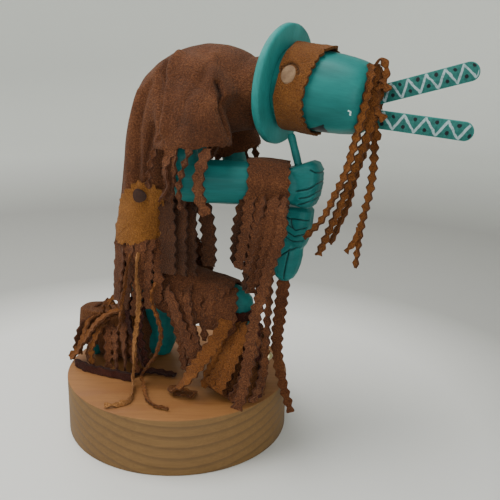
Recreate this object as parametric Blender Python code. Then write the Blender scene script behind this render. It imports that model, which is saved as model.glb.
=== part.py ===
"""A kneeling, hunched flute player: a carved and painted kachina doll dressed in pinked suede, on a round pine base.

Lengths are in millimetres and are turned into metres when a mesh is made. The figure faces +X, its left
side is towards +Y, and the origin is the centre of the base's underside. The figure's own points are
measured from the top of the base."""
import math

import bmesh
import bpy
from mathutils import Vector

METRES = 0.001
LIMB_SIDES = 11
SHARP_EDGE = math.radians(40)  # a face that turns further from its neighbour keeps a crisp edge

# The base
BASE_RADIUS = 75.0
BASE_THICKNESS = 38.0
BASE_EDGE = 0.8
GAP = 0.3  # what touching pieces keep between them

# The head
HEAD_YAW = math.radians(5.4)  # the head turns a little to the figure's right
HEAD_TILT = math.radians(6.1)  # and nods
RUFF_RADIUS = 34.5
RUFF_THICKNESS = 5.0
RUFF_EDGE = 0.7
MASK_LENGTH = 51.0
MASK_RADIUS = 22.6
MASK_PROFILE = ((0.0, 0.97), (0.3, 1.0), (0.6, 0.975), (0.84, 0.91), (0.95, 0.85), (1.0, 0.74))
BAND_START = 4.0  # from the ruff to the strap round the mask's foot
BAND_WIDTH = 19.0
BAND_TEETH = 22
STICK_WIDTH = 10.0
STICK_THICKNESS = 2.0
STICK_SOCKET = 8.0  # how far a stick goes into the crown
STICK_REACH = 59.0  # how far it stands out
UPPER_STICK = (1.5, 1.7, math.radians(23.0))  # root on the crown, to the side and up, and rise over the head's axis
LOWER_STICK = (-2.5, -9.4, math.radians(2.8))
FLUTE_RADIUS = 2.3
FLUTE_IN_FIST = 7.0

# The leather
SUEDE = 1.5  # its thickness
CLOTH = 4.0  # how far the robe stands off the carved body
CUFF_GAP = 0.8  # how far a wrapped piece stands off its limb
PINK_PITCH = 6.6  # one tooth of the pinking shears
PINK_DEPTH = 1.9
PLAIN_STEP = 9.0  # between the sections of a strip that isn't pinked
BUTTON_RADIUS = 4.6
BUTTON_THICKNESS = 1.6
BELL_RADIUS = 3.0

# Paint and leather colours, as red, green, blue, roughness, metallic
TURQUOISE = (0.055, 0.300, 0.290, 0.55, 0.0)
PINE = (0.520, 0.330, 0.160, 0.60, 0.0)
BROWN_SUEDE = (0.130, 0.055, 0.032, 0.95, 0.0)
OCHRE_SUEDE = (0.300, 0.150, 0.050, 0.95, 0.0)
RED_BROWN = (0.120, 0.030, 0.018, 0.85, 0.0)
DARK_BROWN = (0.075, 0.040, 0.028, 0.70, 0.0)
BRASS = (0.420, 0.400, 0.300, 0.30, 1.0)

# Ways that a piece looks
NEAR = Vector((0.0, -1.0, 0.0))
FAR = Vector((0.0, 1.0, 0.0))
FRONT = Vector((1.0, 0.0, 0.0))
BACK = Vector((-1.0, 0.0, 0.0))
UP = Vector((0.0, 0.0, 1.0))
NEAR_BACK = Vector((-0.45, -0.89, 0.0)).normalized()
NEAR_FRONT = Vector((0.5, -0.87, 0.0)).normalized()

RUFF_CENTRE = Vector((74.0, 0.0, 194.5))  # on the ruff's front face

# The pose of the carved figure: each station of a limb is its centre, half width and half height
TORSO = (((-16.5, 0, 48), 20, 16), ((-17.5, 0, 66), 26, 20.5), ((-15.3, 0, 102), 27, 19.5),
         ((-11, 0, 127), 27.5, 19.7), ((-4.2, 0, 154.5), 28.5, 24), ((6.3, 0, 177.3), 28, 27), ((27.5, 0, 189), 25, 24.5),
         ((54, 0, 188.7), 19, 17))
NECK = (15.5, 15.5)
NEAR_ARM = (((12, -20, 180), 11, 12), ((18, -32, 168), 12, 12), ((25, -37, 152), 12, 12.5), ((27, -37, 144), 11, 11))
NEAR_FOREARM = (((17, -40, 141), 6, 7), ((20, -39, 142), 10, 10.5), ((27, -36.5, 140), 12.5, 13),
                ((52, -26.5, 139.5), 12.5, 13.2), ((78, -15.5, 139), 11, 12), ((83, -13.4, 139), 10, 11))
FAR_ARM = (((12, 20, 180), 11, 11), ((19, 32, 162), 11, 11), ((24, 36, 140), 11, 10.5), ((26, 35, 133), 9, 9))
FAR_FOREARM = (((20, 36, 135), 7, 8), ((27, 33, 132), 11, 11), ((52, 19, 123), 10.5, 10.5),
               ((72, 5, 115.5), 9, 9), ((78, 1, 113.5), 8, 8))
NEAR_THIGH = (((-16, -12, 61), 13, 15), ((10, -13, 63), 13, 14), ((38, -12, 62), 11.5, 12),
              ((50, -11.5, 60), 10.5, 10.5), ((56, -11, 57), 7, 8))
NEAR_SHIN = (((51, -11.5, 61), 9, 9), ((52, -11.5, 50), 9.5, 9.5), ((49, -11.5, 32), 9.5, 10.5),
             ((46, -11.5, 12), 6.5, 7), ((46, -11.5, -4), 7, 8))
NEAR_FOOT = (((34, -11.5, 4), 5, 6), ((44, -11.5, 5), 7, 7), ((53, -11.5, 3), 7, 5), ((58, -11.5, 1.5), 5.5, 3.4))
FAR_THIGH = (((-18, 12, 62), 13, 15), ((-22, 13, 42), 12, 13), ((-22.5, 13, 24), 11.5, 12),
             ((-22, 13, 12), 11, 11.5), ((-22, 13, -1), 7, 7.5))
FAR_SHIN = (((-18, 14, 11), 9.5, 9.5), ((-38, 5, 11), 10.5, 10.5), ((-54, -2, 9), 8, 8.5), ((-62, -6, 8), 7, 7))
FAR_FOOT = (((-61, -6, -2), 7, 4), ((-62, -6.5, 8), 7.5, 6), ((-63, -7, 19), 7, 6.5), ((-62, -7, 30), 5.5, 5))
NEAR_FIST = (Vector((89, -11, 150.3)), Vector((90.5, -10, 127.2)), 9.2, 10.2)
FAR_FIST = (Vector((83, -1.5, 123)), Vector((79.5, -1.5, 101.5)), 8.4, 8.6)
FLUTE_END = (((80.0, -1.5, 103.5), 7.6, 7.8), ((79, -1.5, 99.5), 9.2, 9.4), ((77, -1.5, 90.5), 9.4, 9.8),
             ((75.2, -2, 80.5), 7.4, 7.8), ((74.4, -2, 75.5), 4.0, 4.4))
FLUTE_TOP = Vector((80.2, -8.3, 167.6))
FLUTE_HOLE = Vector((86.4, -10.0, 150))

# The sleeves, as stations of their outer faces
NEAR_SLEEVE = (((12, -20, 186), 13.5, 17), ((23, -30, 178), 14.5, 20.5), ((29.5, -35.5, 169), 15, 23),
               ((31.5, -36.7, 159.5), 15, 24))
SLEEVE_FALL = Vector((0.1, -0.03, -1.0)).normalized()  # the way that its mouth faces
FAR_SLEEVE = (((12, 20, 182), 13, 15), ((18.5, 31, 166), 14, 18), ((24, 35, 148), 14.5, 20))
ROBE_HEM = 33.0  # along the middle of the torso, from the pelvis
ROBE_NECK = 1.8  # short of the ruff

# The strips that hang from each piece: the points down the middle, the width, and how the flat side looks
# at the root and at the tip
SLEEVE_STRIPS = (
    (((27.5, -49.5, 161), (22.6, -53, 150), (24, -52.5, 138.5), (18, -51.5, 130)), 4.8, NEAR, NEAR_BACK),
    (((37.5, -50.2, 161), (35.3, -54, 151), (32, -54, 138), (32.5, -53, 125.5)), 2.8, NEAR, NEAR_FRONT),
    (((46.5, -47.5, 161), (46, -54, 152), (44.8, -55, 143), (46, -54.5, 133), (49.5, -54, 125.5)), 6.0, NEAR, NEAR_FRONT))
FAR_SLEEVE_STRIPS = (
    (((31, 45.5, 156), (32, 51.5, 142), (30, 52, 130), (33, 51, 120)), 5.0, FAR, FAR),
    (((18, 47, 154), (15, 51, 138), (16, 52, 122), (12, 51, 112)), 5.0, FAR, FAR),
    (((10.5, 41, 151), (5, 45, 134), (4, 44, 118)), 4.5, FAR, FAR))
HEM_STRIPS = (
    (((-37.5, -6, 88), (-39, -6, 80), (-39.5, -7, 67), (-39, -7, 52)), 9.0, BACK, BACK),
    (((-33, -17, 88), (-35, -18, 80), (-36, -19, 66), (-36, -20, 53)), 8.0, NEAR_BACK, NEAR_BACK),
    (((-26, -25, 88), (-28, -27, 80), (-29, -28, 66), (-30, -28, 54)), 7.5, NEAR_BACK, NEAR_BACK),
    (((-17, -29.5, 88), (-18, -31.5, 78), (-20, -32, 66), (-26, -30, 54)), 7.0, NEAR, NEAR_BACK),
    (((-10, -29, 88), (-10, -31.5, 78), (-11, -32, 64), (-12, -32, 54)), 6.0, NEAR, NEAR),
    (((-3, -25.5, 88), (-2, -31.5, 78), (-2, -32.5, 68), (0, -32.5, 56)), 6.0, UP, NEAR),
    (((0, -20, 88), (6, -28, 82), (6, -30, 74), (4, -30.5, 59)), 6.5, UP, NEAR))
FAR_HEM_STRIPS = (
    (((-37.5, 8, 88), (-39.5, 8, 76), (-40, 8, 60), (-40, 7, 48)), 10.0, BACK, BACK),
    (((-32, 20, 88), (-35, 22, 74), (-35, 23, 56), (-36, 24, 42)), 10.0, FAR, FAR),
    (((-22, 28, 88), (-23, 31, 74), (-25, 31.5, 56), (-26, 32, 38)), 9.0, FAR, FAR),
    (((-12, 29, 88), (-12, 32, 74), (-12, 32.5, 58), (-10, 32, 40)), 9.0, FAR, FAR),
    (((-3, 25, 88), (-1, 30, 74), (-1, 31, 58), (0, 31, 44)), 8.0, FAR, FAR),
    (((3, 16, 88), (8, 24, 74), (9, 27, 60), (8, 27, 48)), 7.0, FAR, FAR))
PANELS = (
    (((8, -19, 127), (11.5, -28, 114), (13.5, -33, 100), (13, -32, 81)), 14.0, NEAR, NEAR),
    (((9, -13, 130), (20, -22, 117), (25, -28, 102), (25, -27.5, 81)), 8.0, NEAR_FRONT, NEAR))
PALE_LACE = ((-9, -33.5, 90), (-9, -35.5, 80), (-8, -36.5, 68), (-7, -37, 60), (-8, -38, 46), (-10, -38.5, 29),
             (-11, -38, 14), (-11, -40, 5), (-5, -50, 2), (-1, -60, 1.6), (-5, -68, 1.6), (-11, -72, 1.6))
BROWN_LACE = ((4, -33.5, 72), (2, -36, 66), (3, -36.5, 58), (7, -37, 49), (9, -37, 39), (5, -36, 26),
              (-3, -35, 14), (-9, -33, 5), (-5, -37, 2), (1, -45, 1.6), (8, -53, 1.6), (17, -58, 1.6),
              (26, -58, 1.6))
FOREARM_STRIPS = (
    (((82, -22, 135), (86.5, -34, 128), (87, -37, 114), (83, -39, 99), (79, -39.5, 82), (75, -40, 66),
      (72, -41, 43), (69, -43, 17), (66, -45, 5)), 6.5, NEAR, NEAR_FRONT),
    (((75, -25, 135), (77.5, -36, 122), (75, -36.5, 108), (72, -35.5, 94), (69, -35, 77)), 5.5, NEAR, NEAR_FRONT))
FOREARM_UNDER_STRIPS = (
    (((70, -27, 135), (70, -35, 122), (69, -33, 108), (65, -31, 92), (63, -30, 78)), 5.0, NEAR, NEAR),
    (((67, -29, 135), (65.5, -35, 123), (60, -32, 108), (56, -29, 94)), 6.0, NEAR, NEAR_FRONT),
    (((78, -24, 131), (82.5, -33.5, 112), (80.5, -34.5, 92), (80.5, -34.5, 74), (80, -34.5, 60),
      (80, -34.5, 44)), 4.0, NEAR_FRONT, NEAR_FRONT))
FAR_STRIPS = (
    (((37, 28, 118), (35, 27, 108), (36, 27, 96), (40, 27, 84)), 5.5, FRONT, FRONT),
    (((49, 22, 115), (49, 21, 102), (47, 21, 90), (49, 21, 78)), 5.5, NEAR, FRONT),
    (((44, 36, 122), (45, 38, 110), (44, 38, 96), (47, 37, 82)), 6.5, FAR, FAR),
    (((57, 27, 116), (58, 29, 104), (57, 30, 90), (54, 29, 72)), 6.0, FAR, FAR))
THIGH_STRIPS = (
    (((3, -22, 66), (6, -28.5, 59), (12, -29, 52), (17, -28.5, 40), (20, -28, 24), (21, -27, 13)), 5.0, NEAR, NEAR),
    (((12, -22, 70), (15, -28.5, 65), (21, -30, 58), (26, -31, 47), (29, -30.5, 34), (32, -30, 24)), 8.5,
     NEAR, NEAR_FRONT),
    (((45, -18, 71), (49, -26.5, 64), (50, -28.5, 56), (49, -29, 44)), 13.0, NEAR_FRONT, NEAR_FRONT),
    (((34, -21, 70), (34.5, -28, 60), (35, -29.5, 50), (36, -30, 40)), 4.0, NEAR, NEAR_FRONT),
    (((50, -24, 61), (50, -32, 50), (44, -36, 38), (36, -39, 25), (27, -40, 12), (19, -38.5, 5), (17.5, -36, 2),
      (24, -35.5, 1.6), (32, -35, 1.6)), 8.5, NEAR_FRONT, UP))
LEGGING_STRIPS = (
    (((53, -21.6, 46), (52, -25, 38), (47, -26, 24), (40, -24, 10), (37.5, -23, 2)), 7.0, NEAR, NEAR),
    (((58, -21.5, 46), (58, -25.5, 36), (53, -27, 20), (47, -26.5, 2)), 6.0, NEAR, NEAR),
    (((62, -17.5, 46), (62.5, -25, 36), (60.5, -29, 20), (57, -31, 2)), 8.0, NEAR_FRONT, NEAR),
    (((63.3, -11.5, 46), (67, -18, 36), (68, -25, 20), (67, -29, 2)), 6.5, FRONT, NEAR_FRONT),
    (((62.5, -6, 46), (66.5, -9, 36), (70, -13, 20), (70.5, -17, 2)), 6.0, FRONT, FRONT))
FAR_LEGGING_STRIPS = (
    (((55, -1.4, 46), (58, 4, 34), (59, 7, 18), (60, 8, 2)), 7.0, FAR, FAR),
    (((46, -1.6, 46), (43, 4, 34), (42, 6, 18), (38, 7, 2)), 7.0, FAR, FAR))
BOOT = (((-25, 2, 28), 11, 8), ((-31, 1, 26), 16, 15), ((-44, -4, 25), 16, 14), ((-53, -7, 24), 14, 12))
BOOT_HEEL = (((-61, -7, 10), 10, 10), ((-63, -7.5, 20), 10.5, 10.5), ((-63, -7.5, 36), 9.5, 9.5))
BOOT_STRIPS = (
    (((-27, -13, 38), (-35, -19, 41), (-46, -23, 35), (-57, -25.5, 21), (-66, -27, 8), (-71, -28, 3)), 6.0,
     UP, NEAR_BACK),
    (((-44, -14, 32), (-47, -23, 28), (-52, -28, 15), (-50, -31, 3)), 4.5, UP, NEAR),
    (((-37, -12, 30), (-36, -23, 26), (-33, -27, 15), (-31, -29, 3)), 5.0, UP, NEAR),
    (((-30, -8, 28), (-25, -19, 25), (-20, -25, 14), (-17, -27, 3)), 5.0, UP, NEAR),
    (((-47, -13, 36), (-45.5, -16, 44), (-40, -15.5, 49), (-33, -15, 47), (-29, -14, 38)), 3.0, NEAR, NEAR))
BOOT_SOLE = ((-62, -33, 3), (-48, -36, 3), (-32, -35.5, 3), (-14, -34.5, 3))
BOOT_TONGUE = ((-20, -28, 1.3), (-13, -21, 1.3), (-4, -17.5, 1.3), (7, -17, 1.3))
HANGING_STRIP = ((76, -1.5, 73.6), (75, -1.5, 56), (73.5, -1.5, 32), (77, -2, 12), (BASE_RADIUS + 7.5, -3, -4),
                 (BASE_RADIUS + 10.5, -3, -13))
HAIR_KNOT = (((126.5, -5, 208), 2.6, 3.6), ((128, -7, 200), 3.4, 4.2), ((129, -10, 191), 3.6, 4.6),
             ((128.5, -13, 182), 3.2, 4.2), ((127, -14, 175), 2.4, 3.2))
HAIR_STRIPS = (
    (((129, -12, 188), (129, -9, 176), (130, -8.5, 157), (129, -8.5, 140), (125, -8, 116), (123.5, -8, 93)), 4.2,
     NEAR_FRONT, NEAR),
    (((127, -14, 180), (124, -17.5, 167), (120, -18.5, 154), (114, -18.5, 139), (105, -18.5, 122), (95, -18.5, 110)),
     4.0, NEAR, NEAR),
    (((128, -14, 179), (125.5, -15.5, 165), (120.5, -15.5, 149), (115, -15.5, 132), (109, -15.5, 116),
      (103, -15.5, 100)), 4.2, NEAR, NEAR),
    (((128, -12, 179), (126, -12.5, 165), (122, -12.5, 150), (118.5, -12.5, 132), (114, -12.5, 119),
      (109.5, -12.5, 107)), 4.2, NEAR, NEAR),
    (((129, -9, 198), (132, -10, 200), (135.5, -11, 193)), 3.4, UP, FRONT),
    (((128.5, -13, 184), (132, -15.5, 184), (136, -15.5, 180)), 3.4, UP, NEAR),
    (((124.4, -8, 117), (122, -9.5, 109), (118, -10, 102)), 2.8, NEAR, NEAR),
    (((127.4, -4, 206), (130.5, -2, 202), (131, -1, 196)), 3.4, FRONT, FRONT))
BELLS = (Vector((74, -20.5, 47)), Vector((75, -20, 32)))
BELL_LACE = ((61.5, -17.5, 58), (66, -22, 57), (70, -25, 54), (71, -26.5, 44), (71.5, -26.5, 30))
PATCH_OUTLINE = ((-14, 129), (2, 135), (9, 131), (11.5, 114), (10.5, 98), (-8, 94), (-31, 93), (-33, 103), (-24, 117))
PATCH_BUTTON = (4.5, 127)


def clear_scene():
    for obj in list(bpy.data.objects):
        bpy.data.objects.remove(obj)


def material(name, values):
    made = bpy.data.materials.get(name) or bpy.data.materials.new(name)
    made.use_nodes = True
    shader = made.node_tree.nodes["Principled BSDF"]
    shader.inputs["Base Color"].default_value = (*values[:3], 1.0)
    shader.inputs["Roughness"].default_value = values[3]
    shader.inputs["Metallic"].default_value = values[4]
    return made


def mesh_object(name, points, faces, finish=None, lift=BASE_THICKNESS):
    """An object from points in millimetres, with its faces turned outwards."""
    mesh = bpy.data.meshes.new(name)
    mesh.from_pydata([(METRES * p[0], METRES * p[1], METRES * (p[2] + lift)) for p in points], [], faces)
    bm = bmesh.new()
    bm.from_mesh(mesh)
    bmesh.ops.recalc_face_normals(bm, faces=bm.faces)
    bm.to_mesh(mesh)
    bm.free()
    mesh.shade_smooth()
    mesh.set_sharp_from_angle(angle=SHARP_EDGE)
    obj = bpy.data.objects.new(name, mesh)
    bpy.context.scene.collection.objects.link(obj)
    if finish:
        mesh.materials.append(finish)
    return obj


def boolean(obj, others, operation, solver="EXACT"):
    for other in others:
        other.hide_render = True
        other.display_type = "WIRE"
        modifier = obj.modifiers.new(operation.title(), "BOOLEAN")
        modifier.operation = operation
        modifier.solver = solver
        modifier.object = other
    return obj


def fuse(obj, others, solver="EXACT"):
    return boolean(obj, others, "UNION", solver)


def carve(obj, cutters, solver="EXACT"):
    return boolean(obj, cutters, "DIFFERENCE", solver)


def keep(obj, others):
    return boolean(obj, others, "INTERSECT")


def bridge(rings):
    """Points and faces of a closed skin over rings that have as many points each."""
    points = [p for ring in rings for p in ring]
    sides = len(rings[0])
    faces = []
    for r in range(len(rings) - 1):
        for s in range(sides):
            a, b = r * sides + s, r * sides + (s + 1) % sides
            faces.append((a, b, b + sides, a + sides))
    last = (len(rings) - 1) * sides
    faces.append(tuple(range(sides)))
    faces.append(tuple(range(last, last + sides)))
    return points, faces


def ring(centre, along, width_axis, half_width, half_height, sides, squareness=1.0):
    """A ring of points square to along. A squareness below 1 makes it boxy."""
    along = along.normalized()
    across = (width_axis - along * width_axis.dot(along)).normalized()
    up = along.cross(across)
    points = []
    for k in range(sides):
        turn = 2 * math.pi * (k + 0.5) / sides
        c, s = math.cos(turn), math.sin(turn)
        c = math.copysign(abs(c) ** squareness, c)
        s = math.copysign(abs(s) ** squareness, s)
        points.append(centre + across * (half_width * c) + up * (half_height * s))
    return points


def tangents(centres):
    ahead = centres[1:] + [centres[-1] * 2 - centres[-2]]
    behind = [centres[0] * 2 - centres[1]] + centres[:-1]
    return [(a - b).normalized() for a, b in zip(ahead, behind)]


def limb(name, stations, sides=LIMB_SIDES, grow=0.0, finish=None, squareness=1.0, last=None):
    """A carved limb through its stations, or the same limb grown. last is the way its end faces."""
    centres = [Vector(s[0]) for s in stations]
    directions = tangents(centres)
    if last:
        directions[-1] = last
    rings = [ring(centre, along, FAR, station[1] + grow, station[2] + grow, sides, squareness)
             for station, centre, along in zip(stations, centres, directions)]
    return mesh_object(name, *bridge(rings), finish)


def length_of(stations):
    return sum((Vector(a[0]) - Vector(b[0])).length for a, b in zip(stations[1:], stations))


def between(stations, start, end):
    """The stations of a stretch of a limb, from start to end along its middle."""
    centres = [Vector(s[0]) for s in stations]
    walked = [0.0]
    for a, b in zip(centres, centres[1:]):
        walked.append(walked[-1] + (b - a).length)

    def at(distance):
        i = 0
        while i < len(walked) - 2 and walked[i + 1] < distance:
            i += 1
        share = (distance - walked[i]) / (walked[i + 1] - walked[i])
        a, b = stations[i], stations[i + 1]
        return (centres[i].lerp(centres[i + 1], share) if 0 <= share <= 1
                else centres[i] + (centres[i + 1] - centres[i]) * share,
                a[1] + (b[1] - a[1]) * share, a[2] + (b[2] - a[2]) * share)

    inside = [s for s, distance in zip(stations, walked) if start + 1 < distance < end - 1]
    return [at(start)] + inside + [at(end)]


def cuff(name, stations, start, end, finish, hanging=()):
    """A piece of leather wrapped round a stretch of a limb, with the strips that hang from it."""
    cloth = limb(name, between(stations, start, end), grow=CUFF_GAP + SUEDE, finish=finish)
    fuse(cloth, hanging)
    return carve(cloth, [limb(name + "_inside", between(stations, start - 8, end + 8), grow=CUFF_GAP)])


def spline(knots, step):
    """Points about step apart on a smooth curve through the knots."""
    knots = [Vector(k) for k in knots]
    padded = [knots[0] * 2 - knots[1]] + knots + [knots[-1] * 2 - knots[-2]]
    fine = []
    for i in range(1, len(padded) - 2):
        p0, p1, p2, p3 = padded[i - 1:i + 3]
        for k in range(12):
            t = k / 12
            fine.append(0.5 * ((2 * p1) + (p2 - p0) * t + (2 * p0 - 5 * p1 + 4 * p2 - p3) * t ** 2
                               + (3 * p1 - p0 - 3 * p2 + p3) * t ** 3))
    fine.append(knots[-1])
    lengths = [0.0]
    for a, b in zip(fine, fine[1:]):
        lengths.append(lengths[-1] + (b - a).length)
    count = max(2, round(lengths[-1] / step))
    points, j = [], 0
    for k in range(count + 1):
        want = lengths[-1] * k / count
        while j < len(fine) - 2 and lengths[j + 1] < want:
            j += 1
        share = (want - lengths[j]) / max(lengths[j + 1] - lengths[j], 1e-9)
        points.append(fine[j].lerp(fine[j + 1], min(1.0, share)))
    return points


def strip(name, knots, width, root, tip, finish=None, thickness=SUEDE, taper=1.0, step=PINK_PITCH / 2):
    """A strip of suede, pinked unless its sections are far apart. root and tip are the ways that its flat side
    looks at its two ends."""
    centres = spline(knots, step)
    rings = []
    for i, (centre, along) in enumerate(zip(centres, tangents(centres))):
        share = i / (len(centres) - 1)
        look = root.lerp(tip, share)
        look = (look - along * look.dot(along)).normalized()
        side = along.cross(look)
        tooth = min(PINK_DEPTH, width / 3) / 2 if step < PINK_PITCH else 0.0
        half = width / 2 * (1 + (taper - 1) * share ** 2) + (tooth if i % 2 else -tooth)
        up = look * (thickness / 2)
        rings.append([centre + side * half + up, centre + side * half - up,
                      centre - side * half - up, centre - side * half + up])
    return mesh_object(name, *bridge(rings), finish)


def strips(name, rows, step=PINK_PITCH / 2):
    return [strip(f"{name}_{k}", *row, step=step) for k, row in enumerate(rows)]


# The head's own axes
AHEAD = Vector((math.cos(HEAD_TILT) * math.cos(HEAD_YAW), -math.cos(HEAD_TILT) * math.sin(HEAD_YAW),
                -math.sin(HEAD_TILT)))
HEAD_SIDE = Vector((math.sin(HEAD_YAW), math.cos(HEAD_YAW), 0.0))
HEAD_UP = AHEAD.cross(HEAD_SIDE)
CARVED_TORSO = TORSO + ((RUFF_CENTRE - AHEAD * (RUFF_THICKNESS + GAP), *NECK),)
CROWN = GAP + MASK_LENGTH


def on_head(ahead, side, up):
    """A point given from the centre of the ruff's front face."""
    return RUFF_CENTRE + AHEAD * ahead + HEAD_SIDE * side + HEAD_UP * up


def turned(name, profile, sides, finish=None):
    """A round piece on the head's axis: profile is (distance ahead, radius)."""
    rings = [ring(on_head(ahead, 0, 0), AHEAD, HEAD_SIDE, radius, radius, sides) for ahead, radius in profile]
    return mesh_object(name, *bridge(rings), finish)


def prism(name, outline, centre, across, up, ahead, depth, start=0.0):
    """A block that stands on an outline given as (across, up), from start along ahead."""
    rings = [[centre + across * a + up * b + ahead * d for a, b in outline] for d in (start, start + depth)]
    return mesh_object(name, *bridge(rings))


def pinked(outline, pitch=PINK_PITCH, depth=PINK_DEPTH):
    """The outline with the pinking shears' teeth along it."""
    points = []
    for k, (x0, y0) in enumerate(outline):
        x1, y1 = outline[(k + 1) % len(outline)]
        length = math.hypot(x1 - x0, y1 - y0)
        teeth = max(1, round(length / pitch))
        for j in range(teeth * 2):
            share = j / (teeth * 2)
            out = depth / 2 if j % 2 else -depth / 2
            points.append((x0 + (x1 - x0) * share + (y0 - y1) / length * out,
                           y0 + (y1 - y0) * share + (x1 - x0) / length * out))
    return points


def floor_cutter():
    """Everything below the top of the base, with the gap that keeps a standing piece off it."""
    low = -BASE_THICKNESS
    corners = [(-200, -200), (200, -200), (200, 200), (-200, 200)]
    return mesh_object("floor", *bridge([[Vector((x, y, z)) for x, y in corners] for z in (low, GAP)]))


def fist(name, top, foot, half_width, half_depth):
    """A closed hand round the flute: four fingers along it, with a cut between each two."""
    along = foot - top
    rings = []
    for finger in range(4):
        for share, inset in ((0.0, 1.5), (0.2, 0.0), (0.8, 0.0)):
            centre = top + along * ((finger + share) / 4)
            edge = 2.4 if finger + share == 0 else inset
            rings.append(ring(centre, along, FAR, half_width - edge, half_depth - edge, 8, 0.8))
    rings.append(ring(foot, along, FAR, half_width - 2.4, half_depth - 2.4, 8, 0.8))
    return mesh_object(name, *bridge(rings))


def flute_axis():
    return (FLUTE_HOLE - FLUTE_TOP).normalized()


def rod(name, start, end, radius, sides=12, finish=None):
    rings = [ring(p, end - start, FAR, radius, radius, sides) for p in (start, end)]
    return mesh_object(name, *bridge(rings), finish)


def make_base():
    profile = ((0, BASE_RADIUS - BASE_EDGE), (BASE_EDGE, BASE_RADIUS),
               (BASE_THICKNESS - BASE_EDGE, BASE_RADIUS), (BASE_THICKNESS, BASE_RADIUS - BASE_EDGE))
    rings = [ring(Vector((0, 0, z)), UP, FRONT, radius, radius, 64) for z, radius in profile]
    mesh_object("pine_base", *bridge(rings), material("pine", PINE), 0.0)


def make_figure():
    paint = material("turquoise_paint", TURQUOISE)
    figure = limb("carved_figure", CARVED_TORSO, 16, finish=paint, last=AHEAD)
    fuse(figure, [limb("near_arm", NEAR_ARM), limb("near_forearm", NEAR_FOREARM),
                  limb("far_arm", FAR_ARM), limb("far_forearm", FAR_FOREARM),
                  limb("near_thigh", NEAR_THIGH), limb("near_shin", NEAR_SHIN), limb("near_foot", NEAR_FOOT),
                  limb("far_thigh", FAR_THIGH), limb("far_shin", FAR_SHIN), limb("far_foot", FAR_FOOT),
                  fist("near_fist", *NEAR_FIST), fist("far_fist", *FAR_FIST), limb("flute_end", FLUTE_END)])
    deep = FLUTE_HOLE + flute_axis() * (FLUTE_IN_FIST + GAP)
    carve(figure, [rod("flute_hole", FLUTE_HOLE - flute_axis() * 5, deep, FLUTE_RADIUS + GAP * 2),
                   floor_cutter()])
    rod("flute", FLUTE_TOP, FLUTE_HOLE + flute_axis() * FLUTE_IN_FIST, FLUTE_RADIUS, 10, paint)


def slat(name, side, up, rise, grow, finish=None):
    """A flat stick with round ends, its faces turned to the sides. grow makes it the cutter of its slot."""
    along = AHEAD * math.cos(rise) + HEAD_UP * math.sin(rise)
    across = along.cross(HEAD_SIDE)
    half = STICK_WIDTH / 2 + grow
    outline = [(-STICK_SOCKET - grow, half), (-STICK_SOCKET - grow, -half)]
    for k in range(9):
        turn = -math.pi / 2 + math.pi * k / 8
        outline.append((STICK_REACH - half + half * math.cos(turn), half * math.sin(turn)))
    thick = STICK_THICKNESS / 2 + grow
    root = on_head(CROWN, side, up) - HEAD_SIDE * thick
    stick = prism(name, outline, root, along, across, HEAD_SIDE, thick * 2)
    if finish:
        stick.data.materials.append(finish)
    return stick


def make_head():
    paint = material("turquoise_paint", TURQUOISE)
    back = -RUFF_THICKNESS
    turned("neck_ruff", ((back, RUFF_RADIUS - RUFF_EDGE), (back + RUFF_EDGE, RUFF_RADIUS),
                         (-RUFF_EDGE, RUFF_RADIUS), (0, RUFF_RADIUS - RUFF_EDGE)), 40, paint)
    mask = turned("case_mask", mask_profile(0.0), 28, paint)
    carve(mask, [slat("upper_slot", *UPPER_STICK, GAP), slat("lower_slot", *LOWER_STICK, GAP)])
    slat("crest_stick_upper", *UPPER_STICK, 0.0, paint)
    slat("crest_stick_lower", *LOWER_STICK, 0.0, paint)


def mask_profile(grow):
    return [(GAP + MASK_LENGTH * share + (grow if share == 1.0 else 0.0), MASK_RADIUS * size + grow)
            for share, size in MASK_PROFILE]


def make_mask_band():
    """The ochre strap round the foot of the mask, pinked along its front edge, with an oval button."""
    inner = MASK_RADIUS + GAP * 2
    outer = inner + SUEDE
    rings = []
    for k in range(BAND_TEETH * 2):
        turn = math.pi * k / BAND_TEETH
        out = HEAD_SIDE * math.cos(turn) + HEAD_UP * math.sin(turn)
        front = BAND_START + BAND_WIDTH + (PINK_DEPTH / 2 if k % 2 else -PINK_DEPTH / 2) + 1.5 * math.sin(turn)
        rings.append([on_head(ahead, 0, 0) + out * radius for ahead, radius in
                      ((BAND_START, outer), (front, outer), (front, inner), (BAND_START, inner))])
    points = [p for r in rings for p in r]
    faces = []
    for k in range(BAND_TEETH * 2):
        a, b = 4 * k, 4 * ((k + 1) % (BAND_TEETH * 2))
        faces += [(a + j, a + (j + 1) % 4, b + (j + 1) % 4, b + j) for j in range(4)]
    mesh_object("mask_band", points, faces, material("ochre_suede", OCHRE_SUEDE))
    skin = outer + GAP
    disc = turned("band_button", ((0, skin + BUTTON_THICKNESS), (BAND_WIDTH + 8, skin + BUTTON_THICKNESS)), 44,
                  material("dark_leather", DARK_BROWN))
    look = (-HEAD_SIDE * 0.94 + HEAD_UP * 0.34).normalized()
    oval = [(0.8 * BUTTON_RADIUS * math.cos(math.pi * k / 10), 1.1 * BUTTON_RADIUS * math.sin(math.pi * k / 10))
            for k in range(20)]
    carve(disc, [turned("button_back", ((-5, skin), (BAND_WIDTH + 12, skin)), 44)])
    keep(disc, [prism("button_outline", oval, on_head(11, 0, 0), AHEAD, AHEAD.cross(look), look, 40)])


def body_cutters(grow):
    """The carved limbs that a garment keeps clear of."""
    return [limb("clear_near_arm", NEAR_ARM, grow=grow), limb("clear_near_forearm", NEAR_FOREARM, grow=grow),
            limb("clear_far_arm", FAR_ARM, grow=grow), limb("clear_far_forearm", FAR_FOREARM, grow=grow),
            limb("clear_near_thigh", NEAR_THIGH, grow=grow), limb("clear_far_thigh", FAR_THIGH, grow=grow)]


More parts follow.
